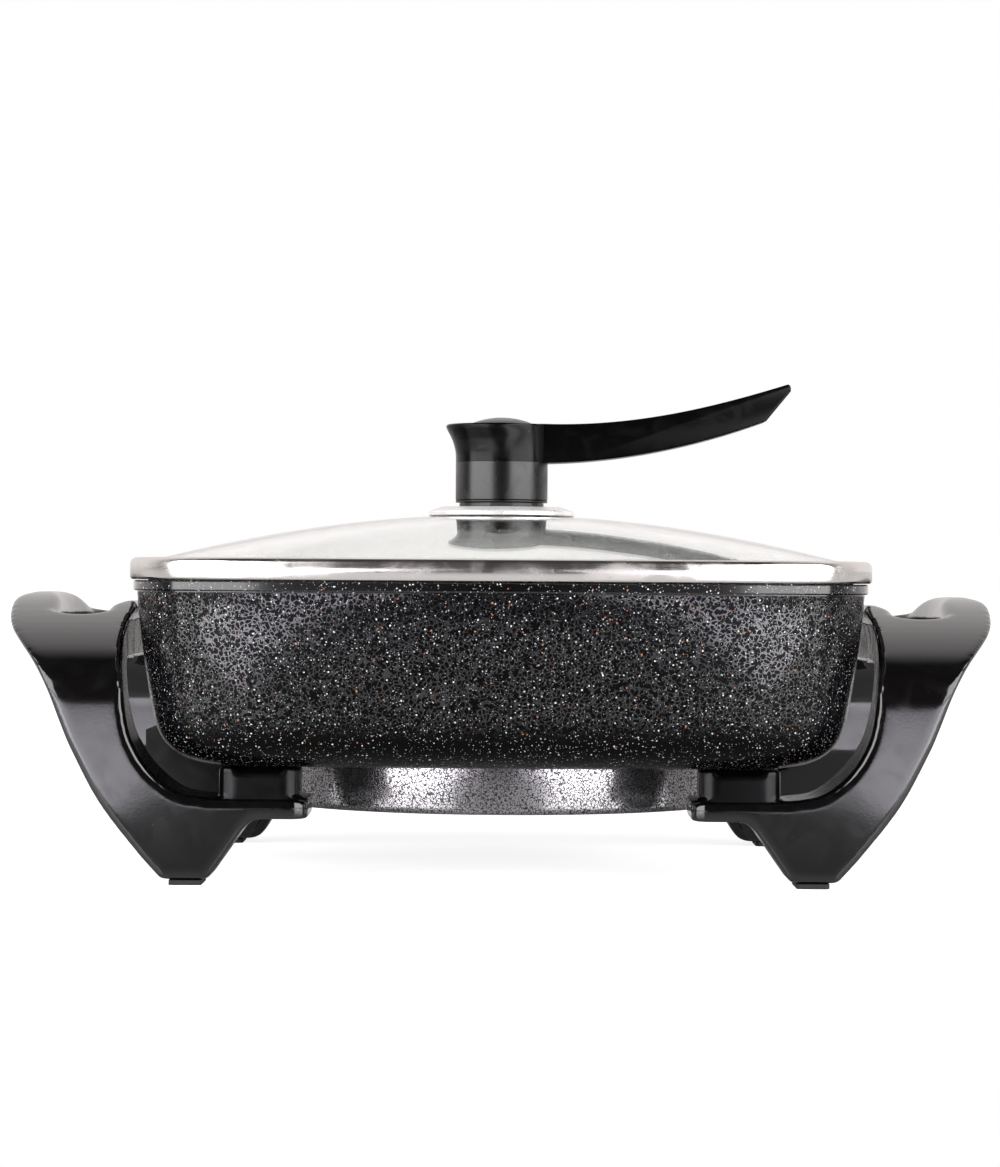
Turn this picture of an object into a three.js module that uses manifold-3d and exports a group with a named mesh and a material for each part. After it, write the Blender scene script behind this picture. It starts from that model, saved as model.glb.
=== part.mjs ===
// Electric skillet: a square cast pan on two handle-and-leg mouldings, a heating unit under the pan,
// and a loose glass lid with a turning lever knob. Millimetres, +Z up. The origin is on the table under
// the pan's middle. +X points along the lever, and the handles lie at the +X and -X ends.
import * as THREE from "three";
import { mergeVertices } from "three/addons/utils/BufferGeometryUtils.js";
import Module from "manifold-3d";

const wasm = await Module();
wasm.setup();

// Clearances
const seatGap = 0.3;
const runningGap = 0.5;
const panSideGap = 1.5;
const cutOverrun = 5;

// Pan
const panStandHeight = 49;
const panDepth = 77.3;
const lipHalfWidth = 161.4;
const panCornerRadius = 60;
const panSideRadius = 750;
const lipHeight = 4.3;
const lipOverhang = 1.6;
const lipChamfer = 0.6;
const panWall = 3;
const panFloor = 4.5;
const wallTaper = 6.6;
const bottomCurveWidth = 31.8;
const bottomCurveHeight = 23;
const handleBossRadius = 7;
const handleBossHeight = 6;
const handleBossInset = 15.4;
const handleBossSetIn = 16;
const coverBossRadius = 4.5;
const coverBossInset = 22;

// Heating unit under the pan
const skirtInset = 55.4;
const skirtLegGap = 6.85;
const skirtHeight = 20.3;
const skirtWall = 1.5;
const skirtEdgeRadius = 3;
const heatPlateInset = 12.5;
const heatPlateThickness = 4;
const elementInset = 12;
const elementTube = 7;
const elementBend = 12;
const terminalSpacing = 28;
const pinDiameter = 5;
const pinLength = 34;
const bushDiameter = 12;
const bushLength = 8;
const sensorDiameter = 8;
const sensorWall = 1;
const sensorLength = 46;
const ventCount = 6;
const ventLength = 26;
const ventWidth = 5;
const ventInset = 22;

// Probe socket housing
const socketMouthInset = 4.4;
const socketSkirtGap = 9.5;
const socketHalfWidth = 27;
const socketRise = 11;
const socketWall = 2.5;
const socketFloorDrop = 8.5;
const socketEarLength = 10;

// Handle and leg mouldings
const handleReach = 40.8;
const gripBulge = 13;
const handleSetIn = 36.4;
const gripDrop = 5;
const blockHeight = 13;
const shelfThickness = 8.6;
const shelfReach = 81.8;
const footDepth = 28;
const footFlareRise = 9;
const gripDepth = 30.3;
const archCornerRadius = 22;
const leanDepth = 44.3;
const shoulderReach = 64;
const crownDrop = 6.6;
const mouldingWall = 3.5;
const linerThickness = 2.5;
const linerBow = 5;
const linerDrop = 13;
const slotSetOut = 4.6;
const slotWidth = 18;
const slotEndInset = 55;
const slotEndRadius = 8;
const toeInset = 4;
const footPadHeight = 2;
const footPadInset = 0.9;
const blockInset = 20.4;
const blockLength = 34;
const blockWidth = 28;
const blockCornerRadius = 7;
const shelfCornerRadius = 7;
const notchWidth = 19.6;
const notchHeight = 1.6;
const notchDepth = 3;

// Fasteners
const handleScrewRadius = 2.2;
const handleScrewHead = 4.5;
const handleScrewHeadHeight = 2.6;
const smallScrewRadius = 1.5;
const smallScrewHead = 3.2;
const smallScrewHeadHeight = 1.8;

// Lid
const rimHeight = 8.2;
const rimOverhang = 1.5;
const rimSheet = 1;
const rimCover = 6.4;
const skirtDrop = 4;
const lipGap = 1.4;
const glassThickness = 4;
const glassRise = 7;
const domeRadius = 555;
const glassHoleRadius = 4;

// Knob stack
const collarRadius = 32.8;
const collarHeight = 4.2;
const collarLip = 2.1;
const collarSheet = 1;
const upperGasketRadius = 16;
const lowerGasketRadius = 8.5;
const lowerGasketThickness = 0.9;
const knobHoleRadius = 3.2;
const knobScrewRadius = 2.2;
const knobScrewHead = 7.5;
const knobScrewHeadHeight = 1.7;
const seatRingRadius = 19;
const seatRingHeight = 1.4;
const knobRadius = 20.75;
const knobBaseHeight = 18.2;
const knobTopRadius = 22.9;
const knobTopShift = -2.35;
const knobTopHeight = 17.4;
const insertRadius = 4.5;
const insertLength = 11;
const capRadius = 13.5;
const capHeight = 2.6;
const leverReach = 129.5;
const leverRise = 18.2;
const leverDepth = 18.2;
const leverRootWidth = 18;
const leverTipWidth = 24;

// Facets
const sideSteps = 4;
const cornerSteps = 5;
const turnSteps = 24;
const smallTurnSteps = 10;
const largeTurnSteps = 44;
const handleStations = 6;
const shoulderSteps = 5;

// Levels and places worked out from the sizes above
const panBottomZ = panStandHeight;
const lipTopZ = panBottomZ + panDepth;
const gripTopZ = lipTopZ - gripDrop;
const shelfTopZ = panBottomZ - blockHeight;
const shelfUnderZ = shelfTopZ - shelfThickness;
const footBottomZ = footPadHeight + seatGap;
const linerTopZ = gripTopZ - linerDrop;
const heatPlateZ = panBottomZ - seatGap - heatPlateThickness;
const elementZ = heatPlateZ - seatGap - elementTube / 2;
const skirtBottomZ = panBottomZ - seatGap - skirtHeight;
const rimBottomZ = lipTopZ + lipGap;
const rimTopZ = rimBottomZ + rimHeight;
const glassReach = lipHalfWidth - runningGap;
const domeTopZ = lipTopZ + glassRise + glassReach ** 2 / (2 * domeRadius);
const archTopZ = gripTopZ - gripDepth;
const frontLeanStart = gripTopZ - leanDepth;
const footFlareZ = shelfTopZ + footFlareRise;
const handleHalfSpan = lipHalfWidth - handleSetIn;
const shelfEndX = lipHalfWidth - shelfReach;
const skirtRadius = lipHalfWidth - skirtInset;
const legInnerY = Math.sqrt((skirtRadius + skirtLegGap) ** 2 - shelfEndX ** 2);
const handleBossX = shelfEndX + handleBossInset;
const handleBossY = handleHalfSpan - handleBossSetIn;
const blockX = shelfEndX + blockInset;
const slotInnerX = lipHalfWidth + slotSetOut;
const slotHalfLength = handleHalfSpan - slotEndInset;
const heatPlateRadius = skirtRadius - skirtWall - heatPlateInset;
const elementRadius = heatPlateRadius - elementInset;
const coverBossCircle = elementRadius - coverBossInset;
const ventCircle = skirtRadius - ventInset;
const socketMouthX = socketMouthInset - lipHalfWidth;
const socketBackX = -skirtRadius - socketSkirtGap;
const socketTopZ = panBottomZ + socketRise;
const elementEndX = socketBackX + socketWall;

// Geometry helpers

// A closed three.js geometry as a solid, with its faces turned outwards.
function solidOf(geometry) {
  const plain = geometry.index ? geometry.toNonIndexed() : geometry.clone();
  plain.deleteAttribute("normal");
  plain.deleteAttribute("uv");
  const merged = mergeVertices(plain);
  const vertProperties = new Float32Array(merged.attributes.position.array);
  const make = (triVerts) => new wasm.Manifold(new wasm.Mesh({ numProp: 3, vertProperties, triVerts }));
  const triVerts = new Uint32Array(merged.index.array);
  const solid = make(triVerts);
  return solid.volume() < 0 ? make(triVerts.reverse()) : solid;
}

// A solid as a three.js geometry with flat faces.
function geometryOf(solid) {
  const mesh = solid.getMesh();
  const geometry = new THREE.BufferGeometry();
  geometry.setAttribute("position", new THREE.BufferAttribute(mesh.vertProperties, mesh.numProp));
  geometry.setIndex(new THREE.BufferAttribute(mesh.triVerts, 1));
  const flat = geometry.toNonIndexed();
  flat.computeVertexNormals();
  return flat;
}

// Rings of points joined into one skin. A capped loft closes its end rings, a looped one joins them.
function loft(rings, looped = false) {
  const positions = [];
  const triangle = (a, b, c) => positions.push(...a, ...b, ...c);
  const count = rings[0].length;
  const bands = looped ? rings.length : rings.length - 1;
  for (let r = 0; r < bands; r++) {
    const low = rings[r];
    const high = rings[(r + 1) % rings.length];
    for (let i = 0; i < count; i++) {
      const next = (i + 1) % count;
      triangle(low[i], low[next], high[next]);
      triangle(low[i], high[next], high[i]);
    }
  }
  if (!looped) {
    for (const [ring, facesBack] of [[rings[0], true], [rings[rings.length - 1], false]]) {
      const middle = ring.reduce((sum, point) => sum.add(point), new THREE.Vector3()).divideScalar(count);
      for (let i = 0; i < count; i++) {
        const next = (i + 1) % count;
        if (facesBack) triangle(ring[next], ring[i], middle);
        else triangle(ring[i], ring[next], middle);
      }
    }
  }
  const geometry = new THREE.BufferGeometry();
  geometry.setAttribute("position", new THREE.Float32BufferAttribute(positions, 3));
  return solidOf(geometry);
}

// A closed profile of [radius, z] pairs turned about the Z axis.
function turned(profile, steps = turnSteps) {
  const points = profile.map(([radius, z]) => new THREE.Vector2(radius, z));
  return solidOf(new THREE.LatheGeometry(points, steps).rotateX(Math.PI / 2));
}

// A ring-shaped profile closed on itself and turned about the Z axis.
function turnedRing(profile, steps = turnSteps) {
  return turned([...profile, profile[0]], steps);
}

function washer(holeRadius, outerRadius, lowZ, highZ, steps = turnSteps) {
  return turnedRing([[holeRadius, lowZ], [outerRadius, lowZ], [outerRadius, highZ], [holeRadius, highZ]], steps);
}

function post(radius, lowZ, highZ, x = 0, y = 0, steps = smallTurnSteps) {
  const height = highZ - lowZ;
  const geometry = new THREE.CylinderGeometry(radius, radius, height, steps).rotateX(Math.PI / 2);
  return solidOf(geometry.translate(x, y, lowZ + height / 2));
}

function rod(radius, fromX, toX, y, z, steps = smallTurnSteps) {
  const length = toX - fromX;
  const geometry = new THREE.CylinderGeometry(radius, radius, length, steps).rotateZ(Math.PI / 2);
  return solidOf(geometry.translate(fromX + length / 2, y, z));
}

function box(fromX, toX, fromY, toY, fromZ, toZ) {
  const geometry = new THREE.BoxGeometry(toX - fromX, toY - fromY, toZ - fromZ);
  return solidOf(geometry.translate((fromX + toX) / 2, (fromY + toY) / 2, (fromZ + toZ) / 2));
}

const flatExtrusion = (depth) => ({ depth, bevelEnabled: false });

// A plan outline raised from lowZ to highZ.
function raised(outline, lowZ, highZ) {
  const geometry = new THREE.ExtrudeGeometry(new THREE.Shape(outline), flatExtrusion(highZ - lowZ));
  return solidOf(geometry.translate(0, 0, lowZ));
}

// An outline in the XZ plane drawn out from fromY to toY.
function drawnAlongY(outline, fromY, toY) {
  const geometry = new THREE.ExtrudeGeometry(new THREE.Shape(outline), flatExtrusion(toY - fromY));
  return solidOf(geometry.rotateX(Math.PI / 2).translate(0, toY, 0));
}

// An outline in the YZ plane drawn out from fromX to toX.
function drawnAlongX(outline, fromX, toX) {
  const geometry = new THREE.ExtrudeGeometry(new THREE.Shape(outline), flatExtrusion(toX - fromX));
  const axes = new THREE.Matrix4().makeBasis(
    new THREE.Vector3(0, 1, 0),
    new THREE.Vector3(0, 0, 1),
    new THREE.Vector3(1, 0, 0),
  );
  return solidOf(geometry.applyMatrix4(axes).translate(fromX, 0, 0));
}

function mirrored(solid, x, y) {
  return solidOf(geometryOf(solid).scale(x, y, 1));
}

function smoothStep(value, from, to) {
  return THREE.MathUtils.smoothstep(value, from, to);
}

const plane = (x, y) => new THREE.Vector2(x, y);

// A rectangle with round corners, as plan points.
function roundedRectangle(fromX, toX, fromY, toY, radius, steps = 4) {
  const shape = new THREE.Path();
  shape.absarc(toX - radius, toY - radius, radius, 0, Math.PI / 2);
  shape.absarc(fromX + radius, toY - radius, radius, Math.PI / 2, Math.PI);
  shape.absarc(fromX + radius, fromY + radius, radius, Math.PI, Math.PI * 1.5);
  shape.absarc(toX - radius, fromY + radius, radius, Math.PI * 1.5, Math.PI * 2);
  return shape.getPoints(steps);
}

// The pan's plan: a square with bowed sides and round corners

// The middle of the corner arcs, which touch the side arcs on the inside.
function cornerCentre() {
  const sideOffset = panSideRadius - lipHalfWidth;
  const reach = panSideRadius - panCornerRadius;
  return (Math.sqrt(2 * reach * reach - sideOffset * sideOffset) - sideOffset) / 2;
}

// The plan outline moved out by offset, as a ring of points at height z.
function squareRing(offset, z) {
  const corner = cornerCentre();
  const sideOffset = panSideRadius - lipHalfWidth;
  const sideAngle = Math.atan2(corner, corner + sideOffset);
  const ring = [];
  for (let quarter = 0; quarter < 4; quarter++) {
    const turn = (quarter * Math.PI) / 2;
    const up = new THREE.Vector3(0, 0, 1);
    const place = (x, y) => ring.push(new THREE.Vector3(x, y, z).applyAxisAngle(up, turn));
    for (let i = 0; i < sideSteps; i++) {
      const angle = sideAngle * ((2 * i) / sideSteps - 1);
      const radius = panSideRadius + offset;
      place(radius * Math.cos(angle) - sideOffset, radius * Math.sin(angle));
    }
    for (let i = 0; i < cornerSteps; i++) {
      const angle = sideAngle + ((Math.PI / 2 - 2 * sideAngle) * i) / cornerSteps;
      const radius = panCornerRadius + offset;
      place(corner + radius * Math.cos(angle), corner + radius * Math.sin(angle));
    }
  }
  return ring;
}

// Pan section, as [offset from the lip, z] pairs

const wallSteps = 2;
const bottomSteps = 4;
const wallBowShare = 0.29;
const bottomSteepShares = [0.075, 0.33];
const bottomFlatShares = [0.33, 0];

// The wall and the round bottom edge, from the top down, moved in by inset over a floor at floorZ.
function wallCurve(inset, topZ, floorZ) {
  const wallX = -lipOverhang - inset;
  const edgeX = wallX - wallTaper;
  const edgeZ = floorZ + bottomCurveHeight;
  const wall = new THREE.QuadraticBezierCurve(
    plane(wallX, topZ),
    plane(wallX - wallTaper * wallBowShare, (topZ + edgeZ) / 2),
    plane(edgeX, edgeZ),
  );
  const [steepX, steepZ] = bottomSteepShares;
  const [flatX, flatZ] = bottomFlatShares;
  const bottom = new THREE.CubicBezierCurve(
    plane(edgeX, edgeZ),
    plane(edgeX - bottomCurveWidth * steepX, floorZ + bottomCurveHeight * steepZ),
    plane(edgeX - bottomCurveWidth * flatX, floorZ + bottomCurveHeight * flatZ),
    plane(edgeX - bottomCurveWidth, floorZ),
  );
  return [...wall.getPoints(wallSteps), ...bottom.getPoints(bottomSteps).slice(1)];
}

function panOutside(growth) {
  const lipUnderZ = lipTopZ - lipHeight;
  const curve = wallCurve(0, lipUnderZ - lipChamfer, panBottomZ).reverse();
  return [...curve, plane(0, lipUnderZ), plane(0, lipTopZ)].map((p) => squareRing(p.x + growth, p.y));
}

function panBody() {
  const inside = [
    plane(-lipOverhang - panWall + lipChamfer, lipTopZ),
    ...wallCurve(panWall, lipTopZ - lipChamfer, panBottomZ + panFloor),
  ].map((p) => squareRing(p.x, p.y));
  let pan = loft([...panOutside(0), ...inside]);
  const rootZ = panBottomZ + panFloor / 2;
  const bossUnderZ = panBottomZ - handleBossHeight;
  for (const [x, y] of handleBossPlaces()) {
    pan = pan.add(post(handleBossRadius, bossUnderZ, rootZ, x, y));
    pan = pan.subtract(post(handleScrewRadius + seatGap, bossUnderZ - cutOverrun, rootZ - seatGap, x, y));
  }
  const coverBossZ = skirtBottomZ + skirtWall + seatGap;
  for (const [x, y] of coverScrewPlaces()) {
    pan = pan.add(post(coverBossRadius, coverBossZ, rootZ, x, y));
    pan = pan.subtract(post(smallScrewRadius + seatGap, coverBossZ - cutOverrun, bossUnderZ, x, y));
  }
  for (const [x, y] of socketScrewPlaces()) {
    pan = pan.add(post(coverBossRadius, bossUnderZ, rootZ, x, y));
    pan = pan.subtract(post(smallScrewRadius + seatGap, bossUnderZ - cutOverrun, rootZ - seatGap, x, y));
  }
  return pan;
}

// Fastener places

function handleBossPlaces() {
  return [-1, 1].flatMap((sideX) => [-1, 1].map((sideY) => [sideX * handleBossX, sideY * handleBossY]));
}

function coverScrewPlaces() {
  return [0, 1, 2].map((i) => {
    const angle = (i * 2 * Math.PI) / 3;
    return [coverBossCircle * Math.cos(angle), coverBossCircle * Math.sin(angle)];
  });
}

function socketScrewPlaces() {
  const y = socketHalfWidth + socketEarLength / 2;
  return [-1, 1].map((side) => [socketBackX - socketEarLength / 2, side * y]);
}

function screw(shaftRadius, headRadius, headHeight, underZ, tipZ, x, y) {
  const head = post(headRadius, underZ - headHeight, underZ, x, y);
  return head.add(post(shaftRadius, underZ - headHeight / 2, tipZ, x, y));
}

// Heating unit

// The shallow drawn cover whose wall shows as a round skirt under the pan.
function baseCover() {
  const topZ = panBottomZ - seatGap;
  const edge = new THREE.Path();
  edge.absarc(skirtRadius - skirtEdgeRadius, skirtBottomZ + skirtEdgeRadius, skirtEdgeRadius, -Math.PI / 2, 0);
  const outside = edge.getPoints(2).map((p) => [p.x, p.y]);
  const innerRadius = skirtRadius - skirtWall;
  let cover = turned([
    [0, skirtBottomZ],
    ...outside,
    [skirtRadius, topZ],
    [innerRadius, topZ],
    [innerRadius, skirtBottomZ + skirtEdgeRadius],
    [skirtRadius - skirtEdgeRadius, skirtBottomZ + skirtWall],
    [0, skirtBottomZ + skirtWall],
  ], largeTurnSteps);
  const low = skirtBottomZ - cutOverrun;
  const high = skirtBottomZ + skirtWall + seatGap;
  for (const [x, y] of coverScrewPlaces()) {
    cover = cover.subtract(post(smallScrewRadius + seatGap, low, high, x, y));
  }
  const vent = roundedRectangle(ventCircle - ventWidth / 2, ventCircle + ventWidth / 2, -ventLength / 2,
    ventLength / 2, ventWidth / 2 - seatGap, 2);
  for (let i = 0; i < ventCount; i++) {
    const angle = ((i + 0.5) * 2 * Math.PI) / ventCount;
    const outline = vent.map((p) => p.clone().rotateAround(plane(0, 0), angle));
    cover = cover.subtract(raised(outline, low, high));
  }
  const notchHalf = terminalSpacing / 2 + elementTube / 2 + runningGap;
  const notchFloor = Math.min(elementZ - elementTube / 2, sensorZ() - sensorDiameter / 2) - runningGap;
  return cover.subtract(
    box(-skirtRadius - cutOverrun, -innerRadius + cutOverrun, -notchHalf, notchHalf, notchFloor, topZ + cutOverrun),
  );
}

function heatPlate() {
  let plate = post(heatPlateRadius, heatPlateZ, heatPlateZ + heatPlateThickness, 0, 0, turnSteps);
  for (const [x, y] of coverScrewPlaces()) {
    const hole = post(coverBossRadius + runningGap, heatPlateZ - cutOverrun, panBottomZ + cutOverrun, x, y);
    plate = plate.subtract(hole);
  }
  return plate;
}

// A tube of round section through a flat route of [x, y] pairs at height z.
function flatTube(route, radius, z, sides = 8) {
  const rings = route.map(([x, y], i) => {
    const [fromX, fromY] = route[Math.max(i - 1, 0)];
    const [toX, toY] = route[Math.min(i + 1, route.length - 1)];
    const along = plane(toX - fromX, toY - fromY).normalize();
    return Array.from({ length: sides }, (_, side) => {
      const angle = (side * 2 * Math.PI) / sides;
      const across = radius * Math.cos(angle);
      return new THREE.Vector3(x - along.y * across, y + along.x * across, z + radius * Math.sin(angle));
    });
  });
  return loft(rings);
}

// The heating tube: a C under the plate, its two ends bent out to the socket.
function heatingElement() {
  const halfSpacing = terminalSpacing / 2;
  const bendY = halfSpacing + elementBend;
  const reach = elementRadius + elementBend;
  const bendX = -Math.sqrt(reach * reach - bendY * bendY);
  const meet = Math.atan2(bendY, -bendX);
  const bendSteps = 4;
  const ringSteps = 24;
  const end = [[elementEndX, -halfSpacing]];
  for (let i = 0; i < bendSteps; i++) {
    const angle = Math.PI / 2 + ((meet - Math.PI / 2) * i) / bendSteps;
    end.push([bendX + elementBend * Math.cos(angle), -bendY + elementBend * Math.sin(angle)]);
  }
  const ring = [];
  for (let i = 0; i <= ringSteps; i++) {
    const angle = meet - Math.PI + ((2 * Math.PI - 2 * meet) * i) / ringSteps;
    ring.push([elementRadius * Math.cos(angle), elementRadius * Math.sin(angle)]);
  }
  const otherEnd = end.map(([x, y]) => [x, -y]).reverse();
  return flatTube([...end, ...ring, ...otherEnd], elementTube / 2, elementZ);
}

function sensorZ() {
  return heatPlateZ - seatGap - sensorDiameter / 2;
}

// A closed-end brass sleeve that takes the probe's sensing rod.
function sensorWell() {
  const radius = sensorDiameter / 2;
  const bore = radius - sensorWall;
  const profile = [
    [0, 0],
    [radius, 0],
    [radius, sensorLength],
    [bore, sensorLength],
    [bore, sensorWall],
    [0, sensorWall],
  ];
  const points = profile.map(([r, along]) => plane(r, along));
  const geometry = new THREE.LatheGeometry(points, smallTurnSteps).rotateZ(Math.PI / 2);
  return solidOf(geometry.translate(socketBackX + sensorLength, 0, sensorZ()));
}

function terminalPin(side) {
  const fromX = elementEndX - seatGap - pinLength;
  return rod(pinDiameter / 2, fromX, elementEndX - seatGap, (side * terminalSpacing) / 2, elementZ);
}

function terminalBush(side) {
  const toX = elementEndX - seatGap;
  const y = (side * terminalSpacing) / 2;
  const outer = rod(bushDiameter / 2, toX - bushLength, toX, y, elementZ);
  const bore = rod(pinDiameter / 2 + seatGap, toX - bushLength - cutOverrun, toX + cutOverrun, y, elementZ);
  return outer.subtract(bore);
}

// Probe socket housing: a five-sided box, open outwards, whose top follows the pan
function socketHousing() {
  const floorZ = elementZ - socketFloorDrop;
  const under = floorZ - socketWall;
  const y = socketHalfWidth;
  const inner = y - socketWall;
  let housing = box(socketMouthX, socketBackX, -y, y, under, socketTopZ);
  const hollowBackX = socketBackX - socketWall;
  housing = housing.subtract(
    box(socketMouthX - cutOverrun, hollowBackX, -inner, inner, floorZ, socketTopZ - socketWall),
  );
  const earTopZ = panBottomZ - handleBossHeight - seatGap;
  const earX = socketBackX - socketEarLength;
  for (const side of [-1, 1]) {
    const root = side * (y - socketWall / 2);
    const tip = side * (y + socketEarLength);
    housing = housing.add(
      box(earX, socketBackX, Math.min(root, tip), Math.max(root, tip), earTopZ - socketWall, earTopZ),
    );
    const bushHole = bushDiameter / 2 + seatGap;
    const holeY = (side * terminalSpacing) / 2;
    housing = housing.subtract(
      rod(bushHole, hollowBackX - seatGap, socketBackX + cutOverrun, holeY, elementZ),
    );
  }
  for (const [x, screwY] of socketScrewPlaces()) {
    housing = housing.subtract(
      post(smallScrewRadius + seatGap, under - cutOverrun, earTopZ + cutOverrun, x, screwY),
    );
  }
  housing = housing.subtract(
    rod(sensorDiameter / 2 + seatGap, hollowBackX - seatGap, socketBackX + cutOverrun, 0, sensorZ()),
  );
  return housing.subtract(loft(panOutside(runningGap)));
}

// Handle mouldings, drawn for the +X side. Their section in the XZ plane is written as pairs: the share of
// handleReach outwards from the pan's lip, and a share of a height that each table names.

const gripOuterShares = [[0.946, 0.984], [0.99, 0.965], [1, 0.92], [0.975, 0.875], [0.9, 0.827]];
const legOuterShares = [[0.765, 0.7535], [0.632, 0.658], [0.517, 0.554], [0.397, 0.457], [0.1225, 0.283],
  [-0.2745, 0.1105], [-0.5735, 0]];
const footInnerShare = -0.951;
const footBackShares = [[-1.328, 0.814], [-1.402, 0.938], [-1.475, 1]];
const shelfTurnShare = -0.99;
const innerEdgeShares = [[-0.679, 0.027], [-0.404, 0.125], [-0.235, 0.247], [-0.152, 0.374], [-0.103, 0.62],
  [-0.1005, 0.804], [-0.15, 0.89], [-0.24, 0.945]];
const topShares = [[-0.218, 0.966], [-0.115, 0.97], [0.002, 0.958], [0.162, 0.93], [0.284, 0.937],
  [0.407, 0.958], [0.517, 0.978], [0.627, 0.993], [0.8235, 0.998]];
const toeShares = [[-0.9, 0.08], [-1.05, 0.08], [-1.14, 0.14], [-1.205, 0.26], [-1.27, 0.42], [-1.4, 0.77],
  [-1.49, 1.01], [-1.2, 1.08], [-0.9, 0.7]];

const reachX = (share) => lipHalfWidth + share * handleReach;

// Points of a table as plan points, with heights as shares from baseZ to topZ.
function sectionPoints(shares, baseZ, topZ) {
  return shares.map(([x, z]) => plane(reachX(x), baseZ + z * (topZ - baseZ)));
}

function smoothLine(points, steps) {
  return new THREE.SplineCurve(points).getPoints(steps);
}

// From the grip's outer top down to the foot.
function outerLine() {
  const points = sectionPoints([...gripOuterShares, ...legOuterShares], 0, gripTopZ);
  return smoothLine(points, 14);
}

// From the foot's inner side up to the shelf's end.
function underLine() {
  return [
    plane(reachX(footInnerShare), 0),
    ...sectionPoints(footBackShares, 0, shelfUnderZ),
    plane(shelfEndX, shelfUnderZ),
  ];
}

// From the shelf's end out along its top, then up the side that faces the pan.
function innerLine() {
  const rise = [plane(reachX(shelfTurnShare), shelfTopZ), ...sectionPoints(innerEdgeShares, shelfTopZ, gripTopZ)];
  return [plane(shelfEndX, shelfTopZ), ...smoothLine(rise, 11)];
}

function topLine() {
  return smoothLine(sectionPoints(topShares, 0, gripTopZ), 10);
}

// An open line moved to its right hand side, into the moulding.
function movedIn(line, distance) {
  const normal = (a, b) => plane(b.y - a.y, a.x - b.x).normalize();
  return line.map((point, i) => {
    const before = normal(line[Math.max(i - 1, 0)], line[Math.max(i, 1)]);
    const after = normal(line[Math.min(i, line.length - 2)], line[Math.min(i + 1, line.length - 1)]);
    const middle = before.clone().add(after).divideScalar(1 + before.dot(after));
    return point.clone().addScaledVector(middle, distance);
  });
}

// How far the moulding is bowed outwards at a point: none at its ends, most at its middle.
function bowAt(x, y, z) {
  const along = 1 - (y / handleHalfSpan) ** 2;
  const inner = reachX(innerEdgeShares[4][0]);
  const outer = reachX(gripOuterShares[2][0]);
  const across = THREE.MathUtils.clamp((x - inner) / (outer - inner), 0, 1);
  const rise = smoothStep(z, shelfTopZ, archTopZ);
  return along * rise * (linerBow + (gripBulge - linerBow) * across);
}

// An outline drawn along the whole moulding and bowed with it.
function bowedAlongY(outline, halfSpan) {
  const settings = { depth: 2 * halfSpan, bevelEnabled: false, steps: handleStations };
  const geometry = new THREE.ExtrudeGeometry(new THREE.Shape(outline), settings);
  geometry.rotateX(Math.PI / 2).translate(0, halfSpan, 0);
  const places = geometry.attributes.position;
  for (let i = 0; i < places.count; i++) {
    places.setX(i, places.getX(i) + bowAt(places.getX(i), places.getY(i), places.getZ(i)));
  }
  return solidOf(geometry);
}

// Where the shoulder's two control points lie: up its height, and along its reach.
const shoulderSteepShare = 0.36;
const shoulderFlatShare = 0.84;

// One half of the side view's outline, moved in: upright below, a round shoulder, then a crowned top.
function sideEdge(inset) {
  const span = handleHalfSpan - inset;
  const crownTopZ = gripTopZ + seatGap - inset;
  const crownHalf = span - shoulderReach;
  const shoulderZ = crownTopZ - crownDrop;
  const crownSlope = (2 * crownDrop) / crownHalf;
  const flatReach = shoulderReach * shoulderFlatShare;
  const startZ = frontLeanStart - inset;
  const shoulder = new THREE.CubicBezierCurve(
    plane(span, startZ),
    plane(span, startZ + (shoulderZ - startZ) * shoulderSteepShare),
    plane(crownHalf + flatReach, shoulderZ - crownSlope * flatReach),
    plane(crownHalf, shoulderZ),
  );
  const edge = [plane(span, footBottomZ), ...shoulder.getPoints(shoulderSteps)];
  for (let i = shoulderSteps - 1; i > 0; i--) {
    const y = (crownHalf * i) / shoulderSteps;
    edge.push(plane(y, crownTopZ - crownDrop * (y / crownHalf) ** 2));
  }
  return edge;
}

// The side view's outer outline, moved in.
function sideEnvelope(inset) {
  const edge = sideEdge(inset);
  const otherEdge = edge.map((p) => plane(-p.x, p.y)).reverse();
  return drawnAlongX([...edge, ...otherEdge], shelfEndX - cutOverrun, reachX(1) + gripBulge + cutOverrun);
}

// The plan's outer outline, moved in along the moulding: the shelf ends have round corners.
function planEnvelope(inset) {
  const half = handleHalfSpan - inset;
  const farX = reachX(1) + gripBulge + cutOverrun;
  const plan = roundedRectangle(shelfEndX, farX, -half, half, shelfCornerRadius - inset, 2);
  return raised(plan, 0, gripTopZ + cutOverrun);
}

// The arch between the two legs, grown by a margin.
function archCutter(margin) {
  const half = legInnerY + margin;
  const footHalf = handleHalfSpan - footDepth + margin;
  const topZ = archTopZ + margin;
  const round = new THREE.Path();
  round.absarc(half - archCornerRadius, topZ - archCornerRadius, archCornerRadius, 0, Math.PI / 2);
  const edge = [plane(footHalf, -cutOverrun), plane(half, footFlareZ), ...round.getPoints(4)];
  const otherEdge = edge.map((p) => plane(-p.x, p.y)).reverse();
  return drawnAlongX([...edge, ...otherEdge], shelfEndX - cutOverrun, reachX(1) + gripBulge + cutOverrun);
}

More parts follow.
